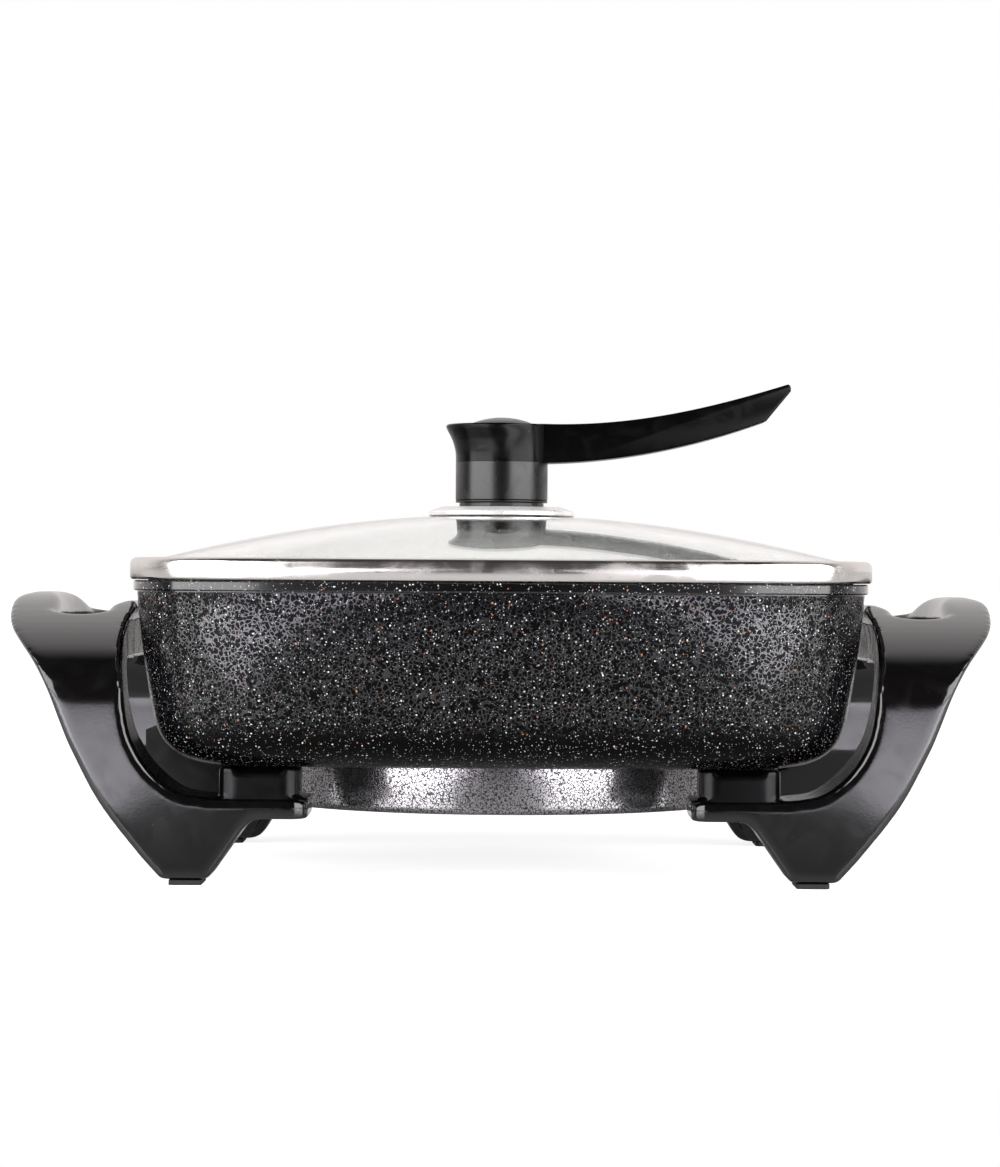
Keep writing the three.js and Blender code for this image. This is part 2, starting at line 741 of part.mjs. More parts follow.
// The finger slot between grip and pan, bowed like the grip.
function fingerSlot() {
  const outerX = slotInnerX + slotWidth;
  const outline = roundedRectangle(slotInnerX, outerX, -slotHalfLength, slotHalfLength, slotEndRadius);
  const sides = [];
  outline.forEach((point, i) => {
    const next = outline[(i + 1) % outline.length];
    const parts = point.distanceTo(next) > slotHalfLength ? handleStations : 1;
    for (let part = 0; part < parts; part++) sides.push(point.clone().lerp(next, part / parts));
  });
  const bowed = sides.map((p) => plane(p.x + bowAt(p.x, p.y, archTopZ), p.y));
  return raised(bowed, shelfTopZ, gripTopZ + cutOverrun);
}

// The hollow of one leg, open towards the liner.
function legPocket(side) {
  const topZ = frontLeanStart - mouldingWall;
  const edge = movedIn([...outerLine(), ...underLine()], mouldingWall).filter((p) => p.y < topZ);
  const section = [...edge, plane(edge[edge.length - 1].x, topZ), plane(edge[0].x, topZ)];
  const bottomZ = footBottomZ + mouldingWall;
  const plateY = handleHalfSpan - mouldingWall;
  const deepY = legInnerY + mouldingWall;
  const footY = handleHalfSpan - footDepth + mouldingWall;
  const sideView = [plane(plateY, bottomZ), plane(plateY, topZ), plane(deepY, topZ), plane(deepY, footFlareZ),
    plane(footY, bottomZ)].map((p) => plane(side * p.x, p.y));
  const fromX = shelfEndX + mouldingWall;
  const pocket = bowedAlongY(section, handleHalfSpan);
  return pocket.intersect(drawnAlongX(sideView, fromX, reachX(1) + cutOverrun));
}

// The flat on which a sunk screw head bears.
const screwSeatZ = shelfUnderZ + handleScrewHeadHeight + 2 * seatGap;

// The strip that faces the pan, between two depths measured into the moulding, grown by a margin at its ends.
function linerStrip(fromDepth, toDepth, halfSpan, archMargin, endMargin) {
  const topZ = linerTopZ + endMargin;
  const line = [plane(shelfEndX - endMargin, shelfTopZ), ...innerLine().slice(1)];
  const outline = [...movedIn(line, fromDepth), ...movedIn(line, toDepth).reverse()];
  const strip = bowedAlongY(outline, halfSpan).subtract(archCutter(archMargin));
  return strip.intersect(box(0, reachX(1), -halfSpan, halfSpan, 0, topZ));
}

function handleShell() {
  const outline = [...outerLine(), ...underLine(), ...innerLine(), ...topLine()];
  let shell = bowedAlongY(outline, handleHalfSpan).intersect(sideEnvelope(0)).subtract(archCutter(0));
  const toe = sectionPoints(toeShares, 0, shelfUnderZ);
  shell = shell.add(drawnAlongY(toe, handleHalfSpan - footDepth, handleHalfSpan - toeInset));
  for (const side of [-1, 1]) shell = shell.subtract(legPocket(side));
  const seatHalf = handleHalfSpan - mouldingWall;
  const seatDepth = linerThickness + seatGap;
  const seat = linerStrip(-linerThickness, seatDepth, seatHalf, mouldingWall - seatGap, seatGap);
  shell = shell.subtract(seat.intersect(sideEnvelope(mouldingWall)));
  shell = shell.subtract(fingerSlot()).subtract(loft(panOutside(panSideGap))).intersect(planEnvelope(0));
  for (const [x, y] of handleBossPlaces().filter(([bossX]) => bossX > 0)) {
    shell = shell.add(post(handleBossRadius, shelfUnderZ, shelfTopZ - linerThickness - seatGap, x, y));
    shell = shell.subtract(post(handleScrewRadius + seatGap, shelfUnderZ - cutOverrun, shelfTopZ, x, y));
    shell = shell.subtract(post(handleScrewHead + seatGap, shelfUnderZ - cutOverrun, screwSeatZ, x, y));
  }
  return shell;
}

// The liner and the two blocks on its shelf ends that carry the pan.
function handleLiner() {
  const halfSpan = handleHalfSpan - mouldingWall - seatGap;
  let liner = linerStrip(0, linerThickness, halfSpan, mouldingWall + seatGap, 0);
  const linerInset = mouldingWall + seatGap;
  liner = liner.intersect(sideEnvelope(linerInset)).intersect(planEnvelope(linerInset));
  liner = liner.subtract(loft(panOutside(panSideGap)));
  const blockTopZ = panBottomZ - seatGap;
  for (const [x, y] of handleBossPlaces().filter(([bossX]) => bossX > 0)) {
    const plan = roundedRectangle(blockX - blockLength / 2, blockX + blockLength / 2, y - blockWidth / 2,
      y + blockWidth / 2, blockCornerRadius, 3);
    const blockFoot = raised(plan, shelfTopZ - linerThickness / 2, shelfTopZ + 2 * seatGap);
    liner = liner.add(blockFoot.intersect(box(0, blockX + blockLength, -halfSpan, halfSpan, 0, blockTopZ)));
    liner = liner.add(raised(plan, shelfTopZ + seatGap, blockTopZ));
    const faceY = y + (Math.sign(y) * blockWidth) / 2;
    const notchY = [faceY - Math.sign(y) * notchDepth, faceY + Math.sign(y) * cutOverrun];
    liner = liner.subtract(
      box(blockX - notchWidth / 2, blockX + notchWidth / 2, Math.min(...notchY), Math.max(...notchY),
        blockTopZ - notchHeight, blockTopZ + cutOverrun),
    );
    const bossFloorZ = panBottomZ - handleBossHeight - seatGap;
    liner = liner.subtract(post(handleBossRadius + runningGap, bossFloorZ, blockTopZ + cutOverrun, x, y));
    liner = liner.subtract(post(handleScrewRadius + seatGap, shelfUnderZ, bossFloorZ + cutOverrun, x, y));
  }
  return liner;
}

function footPad(side) {
  const outerX = outerLine().pop().x - footPadInset;
  const innerX = reachX(footInnerShare) + footPadInset;
  const ys = [handleHalfSpan - footDepth + footPadInset, handleHalfSpan - footPadInset].map((y) => side * y);
  const plan = roundedRectangle(innerX, outerX, Math.min(...ys), Math.max(...ys), footPadHeight, 2);
  return raised(plan, 0, footPadHeight);
}

// Lid

// The height of the glass at a distance from the middle, measured towards a side.
const glassZ = (reach) => domeTopZ - (reach * reach) / (2 * domeRadius);
const rimEdge = -lipOverhang - panWall;

// One ring of the glass: a circle near the middle that turns into the pan's outline at the edge.
function glassRing(reach, drop) {
  const share = reach / glassReach;
  return squareRing(-runningGap, 0).map((point) => {
    const round = point.clone().setLength(reach);
    return round.lerp(point.multiplyScalar(share), share * share).setZ(glassZ(reach) - drop);
  });
}

function lidGlass() {
  const reachShares = [0.2, 0.45, 0.7, 0.88, 1];
  const reaches = [glassHoleRadius, ...reachShares.map((share) => share * glassReach)];
  const top = reaches.map((reach) => glassRing(reach, 0));
  const under = reaches.map((reach) => glassRing(reach, glassThickness)).reverse();
  return loft([...top, ...under], true);
}

// The round of the rim's top edge, as shares of rimHeight down and of rimCover inwards.
const topRoundShares = [0.32, 0.1, 0.1, 0.32];

// The rolled rim: a channel round the glass edge with a skirt that drops inside the pan.
function lidRim() {
  const out = rimOverhang;
  const topIn = rimOverhang - rimCover;
  const bottomZ = lipTopZ + seatGap;
  const skirtIn = rimEdge - rimSheet - 2 * rimSheet;
  const section = [
    [out, rimBottomZ],
    [out, rimTopZ - rimHeight * topRoundShares[0]],
    [out - rimCover * topRoundShares[1], rimTopZ - rimHeight * topRoundShares[2]],
    [out - rimCover * topRoundShares[3], rimTopZ],
    [topIn, rimTopZ],
    [topIn, rimTopZ - rimSheet],
    [out - rimCover * topRoundShares[3], rimTopZ - rimSheet],
    [out - rimSheet, rimTopZ - rimHeight * topRoundShares[0]],
    [out - rimSheet, bottomZ + rimSheet],
    [skirtIn, bottomZ + rimSheet],
    [skirtIn, bottomZ - skirtDrop],
    [skirtIn + rimSheet, bottomZ - skirtDrop],
    [skirtIn + rimSheet, bottomZ],
    [out - 2 * rimSheet, bottomZ],
  ];
  return loft(section.map(([offset, z]) => squareRing(offset, z)), true);
}

// Knob stack, from the glass upwards
const collarBottomZ = glassZ(collarRadius) + seatGap;
const collarTopZ = collarBottomZ + collarHeight;
const seatRingZ = collarTopZ + seatGap;
const knobBaseZ = seatRingZ + seatRingHeight + seatGap;
const leverBaseZ = knobBaseZ + knobBaseHeight + seatGap;
const leverTopZ = leverBaseZ + knobTopHeight;
const capSeatZ = leverTopZ - capHeight / 2;
const lowerGasketZ = glassZ(0) - glassThickness - seatGap - lowerGasketThickness;

function knobCollar() {
  const lipTop = collarBottomZ + collarLip;
  const lip = new THREE.Path();
  const lipHalf = collarLip / 2;
  lip.absarc(collarRadius - lipHalf, collarBottomZ + lipHalf, lipHalf, -Math.PI / 2, Math.PI / 2);
  return turnedRing([
    [knobHoleRadius, collarTopZ - collarSheet],
    [seatRingRadius, collarTopZ - collarSheet],
    [collarRadius - collarLip, lipTop - collarSheet],
    ...lip.getPoints(2).map((p) => [p.x, p.y]),
    [seatRingRadius + collarSheet, collarTopZ],
    [knobHoleRadius, collarTopZ],
  ], turnSteps + smallTurnSteps);
}

function knobBase() {
  const topZ = knobBaseZ + knobBaseHeight;
  const flange = seatRingHeight / 2;
  return turnedRing([
    [knobHoleRadius, knobBaseZ],
    [knobRadius, knobBaseZ],
    [knobRadius, knobBaseZ + flange],
    [knobRadius - seatGap, knobBaseZ + flange + seatGap],
    [knobRadius, knobBaseZ + flange + 2 * seatGap],
    [knobRadius, topZ],
    [knobHoleRadius, topZ],
  ]);
}

// The flared hub on which the lever grows.
function leverHub() {
  const heightShares = [0, 0.3, 0.6, 0.85, 0.96, 1];
  const flareShares = [0, 0.06, 0.38, 0.86, 1, 0.72];
  const rings = heightShares.map((heightShare, i) => {
    const flare = flareShares[i];
    const radius = knobRadius + (knobTopRadius - knobRadius) * flare;
    return Array.from({ length: turnSteps }, (_, step) => {
      const angle = (step * 2 * Math.PI) / turnSteps;
      const x = knobTopShift * flare + radius * Math.cos(angle);
      return new THREE.Vector3(x, radius * Math.sin(angle), leverBaseZ + heightShare * knobTopHeight);
    });
  });
  return loft(rings);
}

// Lever side view as shares of leverReach outwards, and of leverRise up or leverDepth down from the hub's top.
const leverTopShares = [[0.147, -0.03], [0.463, -0.082], [0.734, 0.412], [0.992, 0.989]];
const leverUnderShares = [[0.147, -1], [0.463, -0.957], [0.734, -0.403], [0.914, 0.07]];
const leverTipShares = [[0.998, 0.797], [1, 0.912]];

function leverArm() {
  const above = ([x, z]) => plane(x * leverReach, leverTopZ + z * leverRise);
  const below = ([x, z]) => plane(x * leverReach, leverTopZ + z * leverDepth);
  const top = new THREE.CubicBezierCurve(...leverTopShares.map(above)).getPoints(7);
  const under = new THREE.CubicBezierCurve(...leverUnderShares.map(below)).getPoints(6);
  const rootShare = 0.05;
  const root = [below([rootShare, leverTopShares[0][1]]), below([rootShare, -0.9])];
  const side = drawnAlongY([...root, ...under, ...leverTipShares.map(above), ...top.reverse()],
    -leverRootWidth, leverRootWidth);
  const plan = raised([
    plane(0, -leverRootWidth / 2),
    plane(knobRadius, -leverRootWidth / 2),
    plane(leverReach + cutOverrun, -leverTipWidth / 2),
    plane(leverReach + cutOverrun, leverTipWidth / 2),
    plane(knobRadius, leverRootWidth / 2),
    plane(0, leverRootWidth / 2),
  ], leverBaseZ - leverDepth, leverTopZ + leverRise + cutOverrun);
  return side.intersect(plan);
}

function leverHandle() {
  const lever = leverHub().add(leverArm());
  const baseClear = post(knobRadius + seatGap, leverBaseZ - leverDepth, leverBaseZ, 0, 0, turnSteps);
  const socket = post(insertRadius + seatGap, leverBaseZ - cutOverrun, leverBaseZ + insertLength + seatGap);
  const capRecess = post(capRadius + seatGap, capSeatZ - seatGap, leverTopZ + cutOverrun, 0, 0, turnSteps);
  return lever.subtract(baseClear).subtract(socket).subtract(capRecess);
}

function knobCap() {
  const domeSteps = 4;
  const dome = Array.from({ length: domeSteps }, (_, i) => {
    const share = i / domeSteps;
    return [capRadius * (1 - share), leverTopZ + capHeight * (1 - (1 - share) ** 2)];
  });
  return turned([[0, capSeatZ], [capRadius, capSeatZ], ...dome, [0, leverTopZ + capHeight]]);
}

function knobScrew() {
  const underZ = lowerGasketZ - seatGap;
  const tipZ = leverBaseZ + insertLength - insertRadius / 2;
  return screw(knobScrewRadius, knobScrewHead, knobScrewHeadHeight, underZ, tipZ, 0, 0);
}

// Finishes

const finish = (color, roughness, metalness) => new THREE.MeshStandardMaterial({ color, roughness, metalness });
const panCoating = finish(0x1c1b1d, 0.45, 0.1);
const hammeredPaint = finish(0x77757c, 0.4, 0.6);
const aluminium = finish(0xb8b9bb, 0.35, 1);
const elementSteel = finish(0x5f5a55, 0.5, 0.9);
const stainless = finish(0xcfcbc6, 0.2, 1);
const brass = finish(0xb08d4a, 0.3, 1);
const ceramic = finish(0xe8e3d8, 0.6, 0);
const phenolic = finish(0x141215, 0.18, 0);
const satinBlack = finish(0x0f0f10, 0.5, 0);
const rubber = finish(0x1a1a1a, 0.8, 0);
const silicone = finish(0xdadcd8, 0.6, 0);
const glassLook = { color: 0xe4ece8, roughness: 0.05, transparent: true, opacity: 0.4 };
const glass = new THREE.MeshStandardMaterial(glassLook);

// Assembly

function named(name, solid, material) {
  const mesh = new THREE.Mesh(geometryOf(solid), material);
  mesh.name = name;
  return mesh;
}

const ends = [["left", -1], ["right", 1]];
const rows = [["front", -1], ["rear", 1]];

function basePieces() {
  const group = new THREE.Group();
  group.add(
    named("pan_body", panBody(), panCoating),
    named("base_skirt_cover", baseCover(), hammeredPaint),
    named("heat_plate", heatPlate(), aluminium),
    named("heating_element", heatingElement(), elementSteel),
    named("sensor_well", sensorWell(), brass),
    named("probe_socket_housing", socketHousing(), satinBlack),
  );
  for (const [row, side] of rows) {
    group.add(
      named(`terminal_pin_${row}`, terminalPin(side), stainless),
      named(`terminal_bush_${row}`, terminalBush(side), ceramic),
    );
  }
  coverScrewPlaces().forEach(([x, y], i) => {
    const coverScrew = screw(smallScrewRadius, smallScrewHead, smallScrewHeadHeight, skirtBottomZ - seatGap,
      panBottomZ - handleBossHeight - smallScrewHead, x, y);
    group.add(named(`cover_screw_${i + 1}`, coverScrew, stainless));
  });
  const earUnderZ = panBottomZ - handleBossHeight - 2 * seatGap - socketWall;
  socketScrewPlaces().forEach(([x, y], i) => {
    const socketScrew = screw(smallScrewRadius, smallScrewHead, smallScrewHeadHeight, earUnderZ,
      panBottomZ, x, y);
    group.add(named(`socket_screw_${rows[i][0]}`, socketScrew, stainless));
  });
  return group;
}

function handlePieces() {
  const group = new THREE.Group();
  const shell = handleShell();
  const liner = handleLiner();
  for (const [end, sideX] of ends) {
    group.add(
      named(`handle_${end}`, mirrored(shell, sideX, 1), phenolic),
      named(`handle_liner_${end}`, mirrored(liner, sideX, 1), phenolic),
    );
    for (const [row, sideY] of rows) {
      const handleScrew = screw(handleScrewRadius, handleScrewHead, handleScrewHeadHeight, screwSeatZ - seatGap,
        panBottomZ + seatGap, sideX * handleBossX, sideY * handleBossY);
      group.add(
        named(`handle_screw_${end}_${row}`, handleScrew, stainless),
        named(`foot_pad_${end}_${row}`, mirrored(footPad(sideY), sideX, 1), rubber),
      );
    }
  }
  return group;
}

function lidPieces() {
  const group = new THREE.Group();
  const gasketTopZ = collarTopZ - collarSheet - seatGap;
  const upperGasket = washer(knobHoleRadius, upperGasketRadius, glassZ(0) + seatGap, gasketTopZ);
  const lowerGasketTopZ = lowerGasketZ + lowerGasketThickness;
  const lowerGasket = washer(knobHoleRadius, lowerGasketRadius, lowerGasketZ, lowerGasketTopZ, smallTurnSteps);
  const seatRing = washer(knobHoleRadius, seatRingRadius, seatRingZ, seatRingZ + seatRingHeight);
  group.add(
    named("lid_glass", lidGlass(), glass),
    named("lid_rim", lidRim(), stainless),
    named("upper_gasket", upperGasket, silicone),
    named("lower_gasket", lowerGasket, silicone),
    named("knob_collar", knobCollar(), stainless),
    named("knob_seat_ring", seatRing, satinBlack),
  );
  return group;
}

function knobPieces() {
  const group = new THREE.Group();
  const insertBore = knobScrewRadius + seatGap;
  const insert = washer(insertBore, insertRadius, leverBaseZ, leverBaseZ + insertLength, smallTurnSteps);
  group.add(
    named("knob_base", knobBase(), satinBlack),
    named("lever_handle", leverHandle(), satinBlack),
    named("knob_cap", knobCap(), phenolic),
    named("knob_screw", knobScrew(), stainless),
    named("knob_insert", insert, brass),
  );
  return group;
}

const skillet = new THREE.Group();
skillet.add(basePieces(), handlePieces(), lidPieces(), knobPieces());

export default skillet;
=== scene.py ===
"""Electric skillet: a square cast pan on two leg-and-grip mouldings, under a glass lid with a lever knob.

Lengths are metres in the part's own frame: +X along the lever, +Y to the rear, +Z up from the table.
"""

import logging
import math
from dataclasses import dataclass
from enum import Enum
from itertools import pairwise
from typing import Sequence

import bpy
from mathutils import Matrix, Vector


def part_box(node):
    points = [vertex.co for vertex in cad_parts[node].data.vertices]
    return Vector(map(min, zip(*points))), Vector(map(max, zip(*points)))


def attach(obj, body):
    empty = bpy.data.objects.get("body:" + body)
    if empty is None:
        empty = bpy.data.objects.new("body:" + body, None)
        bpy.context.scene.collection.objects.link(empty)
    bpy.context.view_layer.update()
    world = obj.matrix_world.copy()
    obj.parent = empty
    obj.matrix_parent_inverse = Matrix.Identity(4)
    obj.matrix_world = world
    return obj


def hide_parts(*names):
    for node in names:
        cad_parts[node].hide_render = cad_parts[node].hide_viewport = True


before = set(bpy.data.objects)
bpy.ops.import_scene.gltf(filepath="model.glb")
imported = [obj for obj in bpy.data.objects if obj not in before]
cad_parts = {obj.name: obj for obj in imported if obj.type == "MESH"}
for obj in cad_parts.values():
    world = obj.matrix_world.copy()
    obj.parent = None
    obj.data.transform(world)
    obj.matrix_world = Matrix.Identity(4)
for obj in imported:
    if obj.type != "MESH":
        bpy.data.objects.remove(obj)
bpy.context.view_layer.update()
LOG = logging.getLogger("skillet")
MM = 0.001
Skin = bpy.types.Material
Section = Sequence[tuple[float, float]]


class Side(Enum):
    """The two ends of the skillet, by the sign of X."""

    LEFT = -1
    RIGHT = 1


class Row(Enum):
    """The two rows of feet, by the sign of Y."""

    FRONT = -1
    REAR = 1


class Join(Enum):
    """How one solid changes another."""

    TAKE_AWAY = "DIFFERENCE"
    KEEP_COMMON = "INTERSECT"
    WELD = "UNION"


# Bench tools


def deselect() -> None:
    """Leaves edit mode and lets go of everything."""
    if bpy.context.mode != "OBJECT":
        bpy.ops.object.mode_set(mode="OBJECT")
    bpy.ops.object.select_all(action="DESELECT")


def pick(piece: bpy.types.Object) -> None:
    """Makes one piece the only selected one.

    Args:
        piece: The piece to work on.
    """
    deselect()
    piece.select_set(True)
    bpy.context.view_layer.objects.active = piece


def open_edit(piece: bpy.types.Object, kind: str = "FACE", everything: bool = True) -> None:
    """Opens a piece in edit mode.

    Args:
        piece: The piece to edit.
        kind: The element to select by, VERT, EDGE or FACE.
        everything: Whether all of it starts selected.
    """
    pick(piece)
    bpy.ops.object.mode_set(mode="EDIT")
    bpy.ops.mesh.select_mode(type=kind)
    bpy.ops.mesh.select_all(action="SELECT" if everything else "DESELECT")


def close_edit() -> None:
    """Goes back to object mode."""
    bpy.ops.object.mode_set(mode="OBJECT")


def plate(name: str, points: Sequence[Vector]) -> bpy.types.Object:
    """Adds a flat face with many sides.

    Args:
        name: The piece's name.
        points: The corners, in order round the face.

    Returns:
        The new piece.
    """
    deselect()
    bpy.ops.mesh.primitive_circle_add(vertices=len(points), radius=1, fill_type="NGON", location=(0, 0, 0))
    piece = bpy.context.active_object
    piece.name = name
    for vertex, point in zip(piece.data.vertices, points):
        vertex.co = point
    return piece


def step_face(path: Section, facing: int) -> None:
    """Takes the selected face along a section by insets and extrusions.

    Args:
        path: Pairs of offset from the outline and height.
        facing: 1 where the face looks up, -1 where it looks down.
    """
    for (offset, height), (next_offset, next_height) in pairwise(path):
        inward = offset - next_offset
        rise = next_height - height
        if inward > 1e-7:
            bpy.ops.mesh.inset(thickness=inward, depth=rise * facing, use_even_offset=True)
        else:
            bpy.ops.mesh.extrude_region_move(TRANSFORM_OT_translate={"value": (0, 0, rise)})


def prism(name: str, points: Sequence[Vector], along: Vector, steps: int = 1) -> bpy.types.Object:
    """Draws a flat outline out into a solid.

    Args:
        name: The piece's name.
        points: The outline.
        along: How far it is drawn out.
        steps: The number of equal lengths.

    Returns:
        The solid.
    """
    piece = plate(name, points)
    open_edit(piece)
    for _ in range(steps):
        bpy.ops.mesh.extrude_region_move(TRANSFORM_OT_translate={"value": tuple(along / steps)})
    bpy.ops.mesh.select_all(action="SELECT")
    bpy.ops.mesh.normals_make_consistent(inside=False)
    close_edit()
    return piece


def rounded(corners: Sequence[tuple[float, ...]], steps: int = 4) -> list[tuple[float, float]]:
    """Rounds the corners of a section.

    Args:
        corners: Radius and height of each corner, and its rounding where it has one.
        steps: Segments in each rounding.

    Returns:
        The section's points.
    """
    points: list[tuple[float, float]] = []
    for i, corner in enumerate(corners):
        here = Vector(corner[:2])
        radius = corner[2] if len(corner) > 2 else 0.0
        if radius <= 0 or i in (0, len(corners) - 1):
            points.append(tuple(here))
            continue
        back = (Vector(corners[i - 1][:2]) - here).normalized()
        onward = (Vector(corners[i + 1][:2]) - here).normalized()
        half = back.angle(onward) / 2
        reach = radius / math.tan(half)
        middle = here + (back + onward).normalized() * (radius / math.sin(half))
        start = here + back * reach - middle
        end = here + onward * reach - middle
        turn = start.angle_signed(end)
        for step in range(steps + 1):
            arm = Matrix.Rotation(-turn * step / steps, 2) @ start
            points.append(tuple(middle + arm))
    return points


def turned(name: str, section: Section, steps: int = 72) -> bpy.types.Object:
    """Turns a section about the Z axis.

    Args:
        name: The piece's name.
        section: Pairs of radius and height, closed or ending on the axis.
        steps: Segments round the turn.

    Returns:
        The turned solid.
    """
    deselect()
    bpy.ops.mesh.primitive_plane_add(size=MM, location=(section[0][0], 0, section[0][1]))
    piece = bpy.context.active_object
    piece.name = name
    bpy.ops.object.transform_apply(location=True)
    open_edit(piece, "VERT")
    bpy.ops.mesh.merge(type="CENTER")
    for (radius, height), (next_radius, next_height) in pairwise(section):
        move = (next_radius - radius, 0, next_height - height)
        bpy.ops.mesh.extrude_region_move(TRANSFORM_OT_translate={"value": move})
    bpy.ops.mesh.select_all(action="SELECT")
    bpy.ops.mesh.remove_doubles(threshold=1e-6)
    bpy.ops.mesh.spin(steps=steps, angle=math.tau, center=(0, 0, 0), axis=(0, 0, 1))
    tidy_skin()
    close_edit()
    return smooth(piece)


def tidy_skin() -> None:
    """Merges doubled points and turns every face outwards, in edit mode."""
    bpy.ops.mesh.select_all(action="SELECT")
    bpy.ops.mesh.remove_doubles(threshold=1e-6)
    bpy.ops.mesh.normals_make_consistent(inside=False)


def drop_plates(piece: bpy.types.Object) -> None:
    """Removes the faces with many sides that a stepped skin leaves at its ends.

    Args:
        piece: The skin.
    """
    open_edit(piece, "FACE", everything=False)
    bpy.ops.mesh.select_face_by_sides(number=4, type="GREATER")
    bpy.ops.mesh.delete(type="FACE")
    close_edit()


def smooth(piece: bpy.types.Object, degrees: float = 35) -> bpy.types.Object:
    """Shades a piece smooth but for its sharp edges.

    Args:
        piece: The piece.
        degrees: The angle over which an edge stays sharp.

    Returns:
        The same piece.
    """
    pick(piece)
    bpy.ops.object.shade_smooth_by_angle(angle=math.radians(degrees))
    return piece


def apply(piece: bpy.types.Object, kind: str, **settings: object) -> None:
    """Adds a modifier, sets it and makes it permanent.

    Args:
        piece: The piece.
        kind: The modifier's type.
        **settings: The modifier's values.
    """
    modifier = piece.modifiers.new(kind.lower(), kind)
    for key, value in settings.items():
        setattr(modifier, key, value)
    pick(piece)
    bpy.ops.object.modifier_apply(modifier=modifier.name)


def combine(piece: bpy.types.Object, other: bpy.types.Object, how: Join) -> bpy.types.Object:
    """Cuts or welds a piece with another, which is used up.

    Args:
        piece: The piece that stays.
        other: The piece that is used up.
        how: What the other piece does.

    Returns:
        The piece that stays.
    """
    apply(piece, "BOOLEAN", object=other, operation=how.value, solver="EXACT")
    bpy.data.objects.remove(other)
    return piece


def join(pieces: Sequence[bpy.types.Object]) -> bpy.types.Object:
    """Gathers several meshes in the first one.

    Args:
        pieces: The meshes.

    Returns:
        The first piece, which now holds them all.
    """
    deselect()
    for piece in pieces:
        piece.select_set(True)
    bpy.context.view_layer.objects.active = pieces[0]
    bpy.ops.object.join()
    return pieces[0]


def soften(piece: bpy.types.Object, voxel: float, rounds: int) -> bpy.types.Object:
    """Gives a cut solid the soft edges of a moulding.

    Args:
        piece: The solid.
        voxel: The size of the new skin's faces.
        rounds: How often the skin is evened out.

    Returns:
        The same piece.
    """
    apply(piece, "REMESH", mode="VOXEL", voxel_size=voxel)
    apply(piece, "SMOOTH", factor=0.5, iterations=rounds)
    pick(piece)
    bpy.ops.object.shade_smooth()
    return piece


def mirrored(piece: bpy.types.Object, name: str) -> bpy.types.Object:
    """Copies a piece across the YZ plane.

    Args:
        piece: The piece for the +X end.
        name: The copy's name.

    Returns:
        The copy for the -X end.
    """
    pick(piece)
    bpy.ops.object.duplicate()
    copy = bpy.context.active_object
    copy.name = name
    copy.scale.x = -1
    bpy.ops.object.transform_apply(scale=True)
    open_edit(copy)
    bpy.ops.mesh.normals_make_consistent(inside=False)
    close_edit()
    return copy


def spline(points: Section, steps: int) -> list[tuple[float, float]]:
    """Runs a smooth line through points.

    Args:
        points: The points to pass through.
        steps: The number of equal stretches of the whole line.

    Returns:
        Points along the line.
    """
    last = len(points) - 1
    line = []
    for step in range(steps + 1):
        place = step * last / steps
        i = min(int(place), last - 1)
        t = place - i
        a, b = Vector(points[max(i - 1, 0)]), Vector(points[i])
        c, d = Vector(points[i + 1]), Vector(points[min(i + 2, last)])
        lean_b, lean_c = (c - a) / 2, (d - b) / 2
        spot = (2 * b - 2 * c + lean_b + lean_c) * t**3 + (-3 * b + 3 * c - 2 * lean_b - lean_c) * t**2 + lean_b * t + b
        line.append(tuple(spot))
    return line


def bezier(a: Section, steps: int) -> list[tuple[float, float]]:
    """Draws a Bezier line of any degree.

    Args:
        a: Its control points.
        steps: The number of stretches.

    Returns:
        Points along the line.
    """
    line = []
    for step in range(steps + 1):
        t = step / steps
        row = [Vector(p) for p in a]
        while len(row) > 1:
            row = [p.lerp(q, t) for p, q in pairwise(row)]
        line.append(tuple(row[0]))
    return line


def smooth_rise(value: float, low: float, high: float) -> float:
    """Rises smoothly from 0 at low to 1 at high."""
    t = min(max((value - low) / (high - low), 0.0), 1.0)
    return t * t * (3 - 2 * t)


def seat(piece: bpy.types.Object, body: str, slot: str, finish: bpy.types.Material, *nodes: str) -> bpy.types.Object:
    """Hands a finished piece over to the frame.

    Args:
        piece: The finished piece.
        body: The CAD body that it rides on.
        slot: The record's material slot; not used.
        finish: Its material.
        *nodes: The CAD nodes that it stands for.

    Returns:
        The same piece.
    """
    piece.data.materials.clear()
    piece.data.materials.append(finish)
    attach(piece, body)
    if nodes:
        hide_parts(*nodes)
    LOG.info("%s: %d faces on %s", piece.name, len(piece.data.polygons), body)
    return piece


# Plan of the pan and the lid


